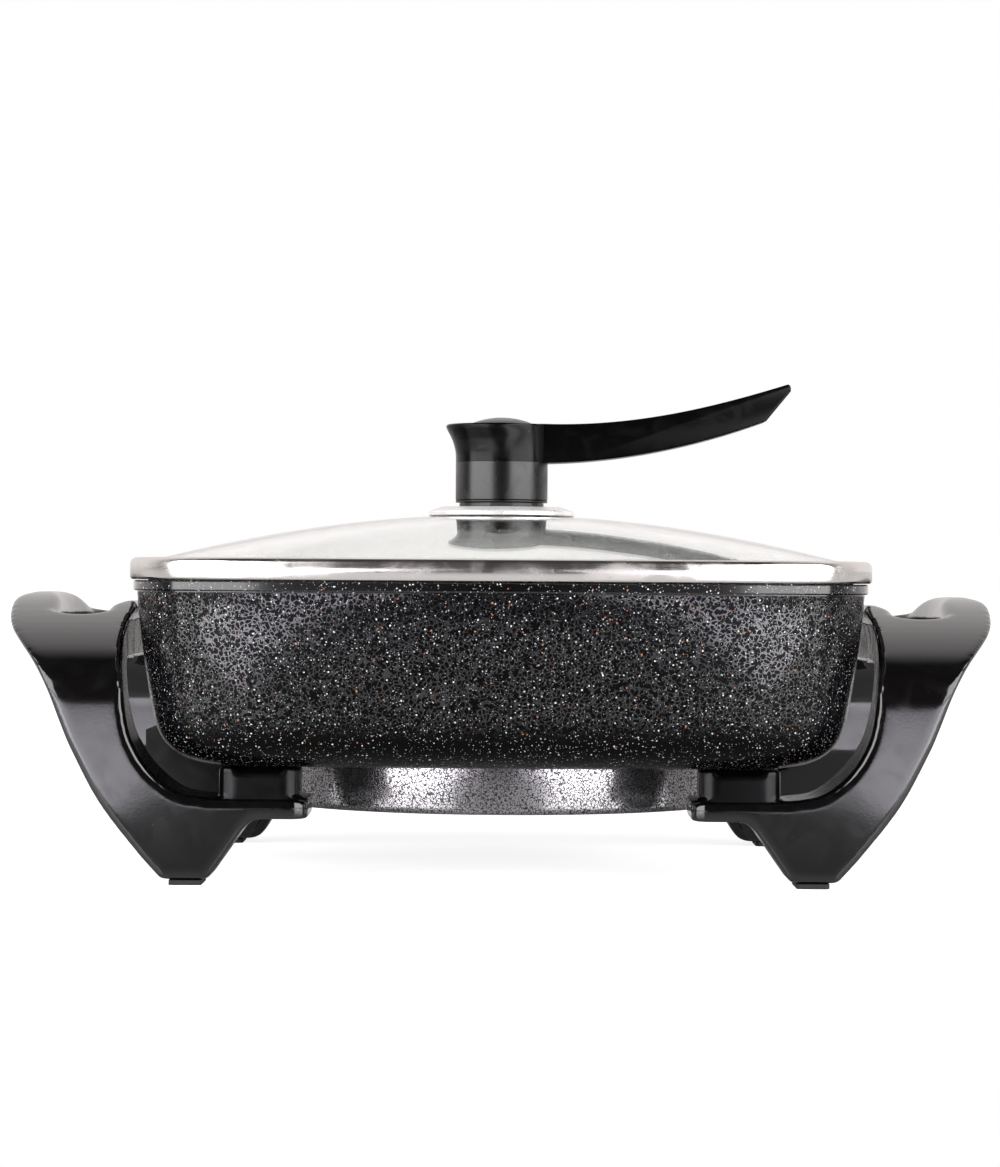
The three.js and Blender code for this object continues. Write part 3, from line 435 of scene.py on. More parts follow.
@dataclass(frozen=True)
class BowedSquare:
    """A square outline whose sides bow outwards and whose corners are round."""

    half_width: float = 0.1614
    corner_radius: float = 0.060
    side_radius: float = 0.750
    side_steps: int = 8
    corner_steps: int = 16

    def corner_centre(self) -> float:
        """Gives the X and Y of the corner arcs' middle."""
        middle = self.side_radius - self.half_width
        reach = self.side_radius - self.corner_radius
        return (math.sqrt(2 * reach**2 - middle**2) - middle) / 2

    def points(self, offset: float, z: float) -> list[Vector]:
        """Lists the outline's points, counter-clockwise from above.

        Args:
            offset: How far the outline is moved outwards.
            z: Its height.

        Returns:
            The points.
        """
        centre = self.corner_centre()
        middle = self.side_radius - self.half_width
        side_angle = math.atan2(centre, centre + middle)
        quarter = []
        for i in range(self.side_steps):
            angle = side_angle * (2 * i / self.side_steps - 1)
            radius = self.side_radius + offset
            quarter.append(Vector((radius * math.cos(angle) - middle, radius * math.sin(angle), z)))
        for i in range(self.corner_steps):
            angle = side_angle + (math.pi / 2 - 2 * side_angle) * i / self.corner_steps
            radius = self.corner_radius + offset
            quarter.append(Vector((centre + radius * math.cos(angle), centre + radius * math.sin(angle), z)))
        return [Matrix.Rotation(turn * math.pi / 2, 3, "Z") @ point for turn in range(4) for point in quarter]

    def reach(self, angle: float, offset: float) -> float:
        """Gives the distance from the middle to the outline in one direction."""
        turn = (angle + math.pi / 4) % (math.pi / 2) - math.pi / 4
        centre = self.corner_centre()
        middle = self.side_radius - self.half_width
        side_angle = math.atan2(centre, centre + middle)
        edge = Vector(((self.side_radius + offset) * math.cos(side_angle) - middle, 0))
        edge.y = (self.side_radius + offset) * math.sin(side_angle)
        heading = Vector((math.cos(turn), math.sin(turn)))
        if abs(turn) <= math.atan2(edge.y, edge.x):
            start, radius = Vector((-middle, 0)), self.side_radius + offset
        else:
            start, radius = Vector((centre, math.copysign(centre, turn))), self.corner_radius + offset
        along = heading.dot(start)
        return along + math.sqrt(along**2 - start.length_squared + radius**2)


PLAN = BowedSquare()


# Pan and the metal parts under it


@dataclass
class Pan:
    """The cast pan: a bowed square bowl with a flat lip, and the bosses under its floor."""

    lip_top: float = 0.1263
    lip_height: float = 0.0043
    lip_overhang: float = 0.0016
    chamfer: float = 0.0006
    wall: float = 0.003
    taper: float = 0.0066
    wall_bow: float = 0.29
    curve_width: float = 0.0318
    curve_height: float = 0.023
    bottom: float = 0.049
    floor: float = 0.0535
    boss_places: tuple[tuple[float, float], ...] = ((0.095, 0.109), (0.095, -0.109), (-0.095, 0.109), (-0.095, -0.109))
    boss_radius: float = 0.007
    boss_drop: float = 0.006

    def wall_line(self, inset: float, top: float, floor: float) -> list[tuple[float, float]]:
        """Follows the wall down into the round bottom edge.

        Args:
            inset: How far the line lies inside the pan's outside.
            top: The height at which it starts.
            floor: The height at which it runs flat.

        Returns:
            Pairs of offset and height.
        """
        x = -self.lip_overhang - inset
        edge_x, edge_z = x - self.taper, floor + self.curve_height
        wall = bezier([(x, top), (x - self.taper * self.wall_bow, (top + edge_z) / 2), (edge_x, edge_z)], 8)
        steep = (edge_x - self.curve_width * 0.075, floor + self.curve_height * 0.33)
        flat = (edge_x - self.curve_width * 0.33, floor)
        return wall + bezier([(edge_x, edge_z), steep, flat, (edge_x - self.curve_width, floor)], 16)[1:]

    def outside(self, growth: float = 0.0) -> list[tuple[float, float]]:
        """Gives the outside from the lip's underside to the bottom, moved out by growth."""
        under = self.lip_top - self.lip_height
        line = [(0.0, under + self.chamfer), (-self.chamfer, under), (-self.lip_overhang, under)]
        line += self.wall_line(0, under - self.chamfer, self.bottom)
        return [(x + growth, z) for x, z in line]

    def inside(self) -> list[tuple[float, float]]:
        """Gives the lip's top and the inside down to the floor."""
        low = self.lip_top - self.chamfer
        rim = [(0.0, low), (-self.chamfer, self.lip_top)]
        rim.append((-self.lip_overhang - self.wall + self.chamfer, self.lip_top))
        return rim + self.wall_line(self.wall, low, self.floor)

    def stepped(self, name: str, path: Section, facing: int) -> bpy.types.Object:
        """Makes one side of the bowl from a flat face.

        Args:
            name: The piece's name.
            path: Pairs of offset and height.
            facing: 1 for the inside, -1 for the outside.

        Returns:
            The open skin.
        """
        points = PLAN.points(*path[0])
        skin = plate(name, points if facing > 0 else points[::-1])
        open_edit(skin)
        step_face(path, facing)
        close_edit()
        return skin

    def blank(self, growth: float, top: float) -> bpy.types.Object:
        """Makes a solid of the pan's outside, grown, to cut other pieces with.

        Args:
            growth: The room round the pan.
            top: The height to which it reaches.

        Returns:
            The cutter.
        """
        lid = plate("pan_room", PLAN.points(growth, top))
        under = self.stepped("pan_room_under", self.outside(growth), -1)
        return self.sewn([lid, under])

    def sewn(self, skins: Sequence[bpy.types.Object]) -> bpy.types.Object:
        """Joins two skins along their open edges.

        Args:
            skins: The two skins.

        Returns:
            One closed solid.
        """
        solid = join(skins)
        open_edit(solid, "EDGE", everything=False)
        bpy.ops.mesh.select_non_manifold()
        bpy.ops.mesh.bridge_edge_loops()
        tidy_skin()
        close_edit()
        return solid

    def build(self, coating: bpy.types.Material) -> None:
        """Builds the pan and hands it over.

        Args:
            coating: The speckled coating.
        """
        inside = self.stepped("pan", self.inside(), 1)
        under = self.stepped("pan_under", self.outside(), -1)
        bowl = self.sewn([inside, under])
        root = (self.bottom + self.floor) / 2
        low = self.bottom - self.boss_drop
        bosses = []
        for x, y in self.boss_places:
            section = rounded([(0, root), (self.boss_radius, root), (self.boss_radius, low, MM), (0.0025, low), (0.0025, low + 5 * MM), (0, low + 5 * MM)])
            boss = turned("pan_boss", section, 40)
            boss.data.transform(Matrix.Translation((x, y, 0)))
            bosses.append(boss)
        bowl = smooth(join([bowl, *bosses]), 40)
        bowl.name = "cast_pan"
        seat(bowl, "base", "pan_coating", coating, "pan_body")


@dataclass
class SkirtCover:
    """The round hammered cover that closes the heating space under the pan."""

    radius: float = 0.106
    low: float = 0.0284
    high: float = 0.0487
    edge: float = 0.003
    sheet: float = 0.0015
    vent_circle: float = 0.084
    vent_length: float = 0.026
    vent_width: float = 0.005
    vents: int = 6

    def build(self, paint: bpy.types.Material) -> None:
        """Presses the cover, cuts its vents and socket gap, and hands it over.

        Args:
            paint: The hammered paint.
        """
        inner = self.radius - self.sheet
        floor = self.low + self.sheet
        section = rounded([
            (0, self.low), (self.radius, self.low, self.edge), (self.radius, self.high),
            (inner, self.high), (inner, floor, self.edge - self.sheet), (0, floor),
        ], 6)
        cover = turned("skirt_cover", section, 180)
        cover = combine(cover, self.terminal_gap(), Join.TAKE_AWAY)
        for i in range(self.vents):
            angle = math.tau * (i + 0.5) / self.vents
            cover = combine(cover, self.vent(angle), Join.TAKE_AWAY)
        smooth(cover, 40)
        seat(cover, "base", "hammered_paint", paint, "base_skirt_cover")

    def vent(self, angle: float) -> bpy.types.Object:
        """Makes the cutter for one slotted vent.

        Args:
            angle: Its place round the cover.

        Returns:
            The cutter.
        """
        ends = []
        half = (self.vent_length - self.vent_width) / 2
        for step in range(17):
            turn = math.pi * step / 16
            arm = Vector((math.cos(turn), math.sin(turn), 0)) * self.vent_width / 2
            ends.append(arm + Vector((0, half, 0)))
        outline = ends + [Vector((-p.x, -p.y, 0)) for p in ends]
        cutter = prism("vent", [p + Vector((0, 0, self.low - MM)) for p in outline], Vector((0, 0, 5 * MM)))
        cutter.data.transform(Matrix.Rotation(angle, 4, "Z") @ Matrix.Translation((self.vent_circle, 0, 0)))
        return cutter

    def terminal_gap(self) -> bpy.types.Object:
        """Makes the cutter for the notch through which the terminals leave."""
        half, reach = 18 * MM, 5 * MM
        low = Vector(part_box("sensor_well")[0]).z - 0.5 * MM
        x = -self.radius - reach
        corners = [(-half, low), (half, low), (half, self.high + reach), (-half, self.high + reach)]
        return prism("terminal_gap", [Vector((x, y, z)) for y, z in corners], Vector((2 * reach, 0, 0)))


# Handle mouldings

# Section of the +X moulding in millimetres of X and Z, from the grip's outer top round to its inner top.
GRIP_AND_LEG = [
    (200.0, 119.4), (201.8, 117.1), (202.2, 111.6), (201.2, 106.1), (198.1, 100.3), (192.6, 91.4), (187.2, 79.8),
    (182.5, 67.2), (177.6, 55.4), (166.4, 34.3), (150.2, 13.4), (138.0, 0.0),
]
UNDERSIDE = [(122.6, 0.0), (107.2, 22.3), (104.2, 25.7), (101.2, 27.4), (79.6, 27.4)]
PAN_SIDE = [
    (121.0, 36.0), (133.7, 38.3), (144.9, 46.7), (151.8, 57.1), (155.2, 67.9), (157.2, 88.9), (157.3, 104.6),
    (155.3, 111.9), (151.6, 116.6),
]
TOP = [
    (152.5, 117.2), (156.7, 117.7), (161.5, 116.2), (168.0, 112.8), (173.0, 113.7), (178.0, 116.2), (182.5, 118.6),
    (187.0, 120.4), (195.0, 121.1),
]
REAR_TOE = [
    (124.7, 2.2), (118.6, 2.2), (114.9, 3.8), (112.2, 7.1), (109.6, 11.5), (104.3, 21.1), (100.6, 27.7),
    (112.4, 29.6), (124.7, 19.2),
]


@dataclass
class Moulding:
    """One handle: two legs, the arch between them and the bowed grip, with a liner facing the pan."""

    pan: Pan
    half_span: float = 0.125
    shelf_top: float = 0.036
    shelf_end: float = 0.0796
    foot_low: float = 0.0023
    foot_depth: float = 0.028
    arch_half: float = 0.080
    arch_top: float = 0.091
    arch_radius: float = 0.022
    arch_flare: float = 0.045
    lean_start: float = 0.077
    shoulder_reach: float = 0.064
    crown_top: float = 0.1216
    crown_drop: float = 0.0066
    shelf_corner: float = 0.007
    liner_bow: float = 0.005
    grip_bow: float = 0.013
    liner: float = 0.0025
    liner_top: float = 0.1095
    edge_wall: float = 0.0022
    seam: float = 0.00015
    voxel: float = 0.00095
    proud: float = 0.0003
    slot_inner: float = 0.166
    slot_width: float = 0.018
    slot_half: float = 0.070
    slot_end_radius: float = 0.008
    slot_edge: float = 0.005
    pan_gap: float = 0.0015
    block: tuple[float, float, float] = (0.100, 0.034, 0.028)
    block_radius: float = 0.007
    notch: tuple[float, float, float] = (0.0196, 0.003, 0.0016)
    overrun: float = 0.005

    def metres(self, points: Section) -> list[tuple[float, float]]:
        """Turns a section in millimetres into metres."""
        return [(x * MM, z * MM) for x, z in points]

    def bow(self, spot: Vector) -> float:
        """Gives how far the moulding is bowed outwards at a point."""
        along = 1 - (spot.y / self.half_span) ** 2
        inner, outer = PAN_SIDE[4][0] * MM, GRIP_AND_LEG[2][0] * MM
        across = min(max((spot.x - inner) / (outer - inner), 0.0), 1.0)
        rise = smooth_rise(spot.z, self.shelf_top, self.arch_top)
        return along * rise * (self.liner_bow + (self.grip_bow - self.liner_bow) * across)

    def bowed(self, piece: bpy.types.Object) -> bpy.types.Object:
        """Bows a piece with the moulding."""
        for vertex in piece.data.vertices:
            vertex.co.x += self.bow(vertex.co)
        return piece

    def drawn(self, name: str, section: Section, low: float, high: float, steps: int = 1) -> bpy.types.Object:
        """Draws a section out along Y."""
        points = [Vector((x, low, z)) for x, z in section]
        return prism(name, points, Vector((0, high - low, 0)), steps)

    def crosswise(self, name: str, edge: Section) -> bpy.types.Object:
        """Draws one half of an outline in Y and Z, and its mirror image, out along X."""
        start = self.shelf_end - self.overrun
        points = [Vector((start, y, z)) for y, z in edge] + [Vector((start, -y, z)) for y, z in reversed(edge)]
        return prism(name, points, Vector((0.145, 0, 0)))

    def envelope(self, inset: float = 0.0) -> bpy.types.Object:
        """Makes the side view's outline, moved in: upright below, a round shoulder, then a crowned top."""
        span, top, start = self.half_span - inset, self.crown_top - inset, self.lean_start - inset
        half = span - self.shoulder_reach
        low = top - self.crown_drop
        flat = self.shoulder_reach * 0.84
        steep = start + (low - start) * 0.36
        edge = [(span, self.foot_low)]
        edge += bezier([(span, start), (span, steep), (half + flat, low - 2 * self.crown_drop / half * flat), (half, low)], 16)
        edge += [(half * i / 12, top - self.crown_drop * (i / 12) ** 2) for i in range(11, 0, -1)]
        return self.crosswise("envelope", edge)

    def plan(self, inset: float = 0.0) -> bpy.types.Object:
        """Makes the plan's outline, moved in along the moulding, with round shelf ends."""
        half, r = self.half_span - inset, self.shelf_corner - inset
        points = [Vector((0.3, -half, 0)), Vector((0.3, half, 0))]
        for side in (1, -1):
            arc = [math.pi / 2 * step / 8 for step in range(9)]
            for turn in arc if side > 0 else arc[::-1]:
                x = self.shelf_end + r - r * math.sin(turn)
                points.append(Vector((x, side * (half - r + r * math.cos(turn)), 0)))
        return prism("plan", points, Vector((0, 0, 0.14)))

    def arch(self, margin: float) -> bpy.types.Object:
        """Makes the cutter for the arch between the legs, grown by a margin."""
        half, top = self.arch_half + margin, self.arch_top + margin
        edge = [(self.half_span - self.foot_depth + margin, -self.overrun), (half, self.arch_flare)]
        for step in range(13):
            turn = math.pi / 2 * step / 12
            arm = (math.cos(turn) * self.arch_radius, math.sin(turn) * self.arch_radius)
            edge.append((half - self.arch_radius + arm[0], top - self.arch_radius + arm[1]))
        return self.crosswise("arch", edge)

    def top_height(self, spot: Vector) -> float:
        """Gives the height of the grip's top above a point of the plan."""
        x = spot.x - self.bow(Vector((spot.x, spot.y, self.arch_top)))
        line = spline(self.metres(TOP), 40)
        (x0, z0), (x1, z1) = min(pairwise(line), key=lambda pair: abs(pair[0][0] + pair[1][0] - 2 * x))
        height = z0 + (z1 - z0) * (x - x0) / (x1 - x0)
        half = self.half_span - self.shoulder_reach
        return min(height, self.crown_top - self.crown_drop * (spot.y / half) ** 2)

    def slot(self) -> bpy.types.Object:
        """Makes the cutter for the finger slot: bowed like the grip, with a flare that rounds the upper rim."""
        r = self.slot_end_radius
        middle = self.slot_inner + self.slot_width / 2
        points = []
        for turn in range(4):
            side_x, side_y = ((1, 1), (-1, 1), (-1, -1), (1, -1))[turn]
            for step in range(7):
                angle = math.pi / 2 * (turn + step / 6)
                x = middle + side_x * (self.slot_width / 2 - r) + r * math.cos(angle)
                y = side_y * (self.slot_half - r) + r * math.sin(angle)
                points.append(Vector((x, y, 0)))
        dense = []
        for here, there in zip(points, points[1:] + points[:1]):
            parts = 24 if (there - here).length > self.slot_half else 1
            dense += [here.lerp(there, part / parts) for part in range(parts)]
        for point in dense:
            point.x += self.bow(Vector((point.x, point.y, self.arch_top)))
        steps = 10
        cutter = prism("finger_slot", dense, Vector((0, 0, steps)), steps)
        outward = [(here - there).cross(Vector((0, 0, 1))).normalized() for here, there in zip(dense[-1:] + dense[:-1], dense[1:] + dense[:1])]
        for vertex in cutter.data.vertices:
            level = round(vertex.co.z)
            i = min(range(len(dense)), key=lambda n: (dense[n] - vertex.co).xy.length_squared)
            turn = math.pi / 2 * min(max(level - 1, 0) / (steps - 2), 1.0)
            spot = dense[i] - outward[i] * self.slot_edge * (1 - math.cos(turn))
            heights = {0: self.shelf_top, steps: self.crown_top + self.overrun}
            lift = self.top_height(spot) - self.slot_edge * (1 - math.sin(turn))
            vertex.co = (spot.x, spot.y, heights.get(level, lift))
        return cutter

    def strip(self, name: str, low: float, high: float, half: float, margin: float, top: float) -> bpy.types.Object:
        """Makes the strip that faces the pan, between two depths measured into the moulding.

        Args:
            name: The piece's name.
            low: The depth of the face towards the pan.
            high: The depth of the face behind it.
            half: Half of the strip's length.
            margin: How far the arch's edge lies outside the arch.
            top: Where the strip ends.

        Returns:
            The strip.
        """
        line = [(self.shelf_end, self.shelf_top)] + spline(self.metres(PAN_SIDE), 44)
        outline = self.moved(line, low) + self.moved(line, high)[::-1]
        strip = self.bowed(self.drawn(name, outline, -half, half, 40))
        strip = combine(strip, self.arch(margin), Join.TAKE_AWAY)
        corners = [(0.0, -half * 2), (0.3, -half * 2), (0.3, half * 2), (0.0, half * 2)]
        room = prism("liner_room", [Vector((x, y, 0)) for x, y in corners], Vector((0, 0, top)))
        return combine(strip, room, Join.KEEP_COMMON)

    def moved(self, line: Section, depth: float) -> list[tuple[float, float]]:
        """Moves an open line to its right hand side, into the moulding."""
        moved = []
        spots = [Vector(p) for p in line]
        for i, spot in enumerate(spots):
            ahead = spots[min(i + 1, len(spots) - 1)] - spot
            behind = spot - spots[max(i - 1, 0)]
            heads = [v.normalized() for v in (behind, ahead) if v.length > 1e-9]
            head = sum(heads, Vector((0, 0))).normalized()
            lean = max(head.dot(heads[0]), 0.5)
            moved.append(tuple(spot + Vector((head.y, -head.x)) * (depth / lean)))
        return moved

    def shell(self) -> bpy.types.Object:
        """Moulds the legs, the shelf and the grip.

        Returns:
            The moulding of the +X end.
        """
        outline = spline(self.metres(GRIP_AND_LEG), 60) + self.metres(UNDERSIDE)
        outline += [(self.shelf_end, self.shelf_top)] + spline(self.metres(PAN_SIDE), 44)
        outline += spline(self.metres(TOP), 40)
        shell = self.bowed(self.drawn("handle", outline, -self.half_span, self.half_span, 40))
        shell = combine(shell, self.envelope(), Join.KEEP_COMMON)
        shell = combine(shell, self.arch(0), Join.TAKE_AWAY)
        toe = self.drawn("toe", self.metres(REAR_TOE), self.half_span - self.foot_depth, self.half_span - 4 * MM)
        shell = combine(shell, toe, Join.WELD)
        shell = combine(shell, self.slot(), Join.TAKE_AWAY)
        shell = combine(shell, self.pan.blank(self.pan_gap, 0.135), Join.TAKE_AWAY)
        shell = combine(shell, self.plan(), Join.KEEP_COMMON)
        for row in Row:
            shell = combine(shell, self.screw_hole(row), Join.TAKE_AWAY)
        return soften(shell, self.voxel, 28)

    def screw_hole(self, row: Row) -> bpy.types.Object:
        """Makes the cutter for the sunk head of a handle screw."""
        low, high = (Vector(corner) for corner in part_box(f"handle_screw_right_{row.name.lower()}"))
        middle = (low + high) / 2
        radius = (high.x - low.x) / 2 + 0.6 * MM
        head_top = low.z + 2.9 * MM
        section = [(0, low.z - self.overrun), (radius, low.z - self.overrun), (radius, head_top), (0.0026, head_top)]
        hole = turned("screw_hole", section + [(0.0026, self.shelf_top + MM), (0, self.shelf_top + MM)], 32)
        hole.data.transform(Matrix.Translation((middle.x, middle.y, 0)))
        return hole

    def support(self, row: Row) -> bpy.types.Object:
        """Makes the block on the shelf that carries the pan, with its notch.

        Args:
            row: Front or rear.

        Returns:
            The block.
        """
        x, length, width = self.block
        y = 0.109 * row.value
        points = []
        for turn, (side_x, side_y) in enumerate(((1, 1), (-1, 1), (-1, -1), (1, -1))):
            for step in range(7):
                angle = math.pi / 2 * (turn + step / 6)
                spot_x = x + side_x * (length / 2 - self.block_radius) + self.block_radius * math.cos(angle)
                spot_y = y + side_y * (width / 2 - self.block_radius) + self.block_radius * math.sin(angle)
                points.append(Vector((spot_x, spot_y, self.shelf_top - MM)))
        top = self.pan.bottom - 0.3 * MM
        block = prism("support", points, Vector((0, 0, top - self.shelf_top + MM)))
        notch_length, notch_depth, notch_height = self.notch
        face = y + row.value * width / 2
        corners = [(x - notch_length / 2, face - row.value * notch_depth), (x + notch_length / 2, face - row.value * notch_depth)]
        corners += [(x + notch_length / 2, face + row.value * 5 * MM), (x - notch_length / 2, face + row.value * 5 * MM)]
        cut = prism("notch", [Vector((cx, cy, top - notch_height)) for cx, cy in corners], Vector((0, 0, 5 * MM)))
        block = combine(block, cut, Join.TAKE_AWAY)
        pocket = turned("pocket", [(0, 0.0426), (0.0075, 0.0426), (0.0075, 0.055), (0, 0.055)], 40)
        pocket.data.transform(Matrix.Translation((0.095, y, 0)))
        return combine(block, pocket, Join.TAKE_AWAY)

    def lining(self) -> bpy.types.Object:
        """Moulds the liner with its two blocks.

        Returns:
            The liner of the +X end.
        """
        inset = self.edge_wall + self.seam
        strip = self.strip("handle_liner", -self.proud, self.liner, self.half_span - inset, inset, self.liner_top)
        strip = combine(strip, self.envelope(inset), Join.KEEP_COMMON)
        strip = combine(strip, self.plan(inset), Join.KEEP_COMMON)
        strip = combine(strip, self.pan.blank(self.pan_gap, 0.135), Join.TAKE_AWAY)
        for row in Row:
            strip = combine(strip, self.support(row), Join.WELD)
        return soften(strip, 0.8 * self.voxel, 8)

    def build(self, phenolic: bpy.types.Material, liner_finish: bpy.types.Material) -> None:
        """Moulds both ends and hands them over.

        Args:
            phenolic: The glossy moulding compound.
            liner_finish: The liner's finish.
        """
        shell, lining = self.shell(), self.lining()
        for side in Side:
            end = side.name.lower()
            grip = shell if side is Side.RIGHT else mirrored(shell, "left_handle_moulding")
            inner = lining if side is Side.RIGHT else mirrored(lining, "left_handle_lining")
            if side is Side.RIGHT:
                continue
            seat(grip, "base", "phenolic", phenolic, f"handle_{end}")
            seat(inner, "base", "phenolic", liner_finish, f"handle_liner_{end}")
        shell.name, lining.name = "right_handle_moulding", "right_handle_lining"
        seat(shell, "base", "phenolic", phenolic, "handle_right")
        seat(lining, "base", "phenolic", liner_finish, "handle_liner_right")


# Lid and knob


@dataclass
class Lid:
    """The square glass lid with its rolled steel rim."""

    reach: float = 0.1609
    top: float = 0.15662
    dome_radius: float = 0.555
    thickness: float = 0.004
    hole_radius: float = 0.004
    rings: int = 26
    around: int = 160
    rim_offset: float = 0.0015
    rim_sheet: float = 0.0009

    def glass_height(self, reach: float) -> float:
        """Gives the height of the glass's top at a reach from the middle."""
        return self.top - reach**2 / (2 * self.dome_radius)

    def glass(self) -> bpy.types.Object:
        """Slumps a disc of glass into the square dome.

        Returns:
            The glass.
        """
        corners = [Vector((math.cos(math.tau * i / self.around), math.sin(math.tau * i / self.around), 0)) for i in range(self.around)]
        sheet = plate("glass", corners)
        open_edit(sheet)
        for _ in range(self.rings - 1):
            bpy.ops.mesh.inset(thickness=1 / self.rings, depth=0, use_even_offset=True)
        bpy.ops.mesh.delete(type="FACE")
        close_edit()
        edge = PLAN.half_width - self.reach
        for vertex in sheet.data.vertices:
            ring = round(vertex.co.length * self.rings)
            angle = math.atan2(vertex.co.y, vertex.co.x)
            least = self.hole_radius / self.reach
            t = least + (1 - least) * (ring - 1) / (self.rings - 1)
            square = PLAN.reach(angle, -edge)
            radius = (1 - t * t) * t * self.reach + t**3 * square
            spot = Vector((radius * math.cos(angle), radius * math.sin(angle), self.glass_height(t * self.reach)))
            vertex.co = spot
        open_edit(sheet)
        tidy_skin()
        close_edit()
        facing = sum(polygon.normal.z for polygon in sheet.data.polygons)
        apply(sheet, "SOLIDIFY", thickness=self.thickness, offset=-1 if facing > 0 else 1, use_even_offset=True)
        return smooth(sheet, 50)

    def rim(self) -> bpy.types.Object:
        """Rolls the steel rim round the glass's edge.

        Returns:
            The rim.
        """
        out = self.rim_offset
        upper = [
            (out, 0.1277), (out, 0.1332), (out - 0.00022, 0.1344), (out - 0.0009, 0.1353), (out - 0.0019, 0.1358),
            (out - 0.0030, 0.1359), (out - 0.0056, 0.1359), (out - 0.0064, 0.1357), (out - 0.0066, 0.1352),
        ]
        lower = [(out, 0.1277), (out - 0.0005, 0.1269), (out - 0.0014, 0.1266), (out - 0.0076, 0.1266), (out - 0.0082, 0.1262), (out - 0.0083, 0.1224)]
        skins = []
        for facing, path in ((1, upper), (-1, lower)):
            points = PLAN.points(*path[0])
            skin = plate("rim", points if facing > 0 else points[::-1])
            open_edit(skin)
            step_face(path, facing)
            close_edit()
            skins.append(skin)
        rim = join(skins)
        drop_plates(rim)
        open_edit(rim)
        tidy_skin()
        close_edit()
        middle = rim.data.polygons[0]
        outward = Vector((middle.center.x, middle.center.y, 0)).dot(middle.normal)
        apply(rim, "SOLIDIFY", thickness=self.rim_sheet, offset=-1 if outward > 0 else 1, use_even_offset=True)
        return smooth(rim, 45)

    def build(self, glass: bpy.types.Material, steel: bpy.types.Material) -> None:
        """Builds the glass and the rim and hands them over.

        Args:
            glass: The tempered glass.
            steel: The polished steel.
        """
        dome = self.glass()
        dome.name = "domed_glass"
        seat(dome, "lid", "glass", glass, "lid_glass")
        rim = self.rim()
        rim.name = "rolled_rim"
        seat(rim, "lid", "polished_steel", steel, "lid_rim")


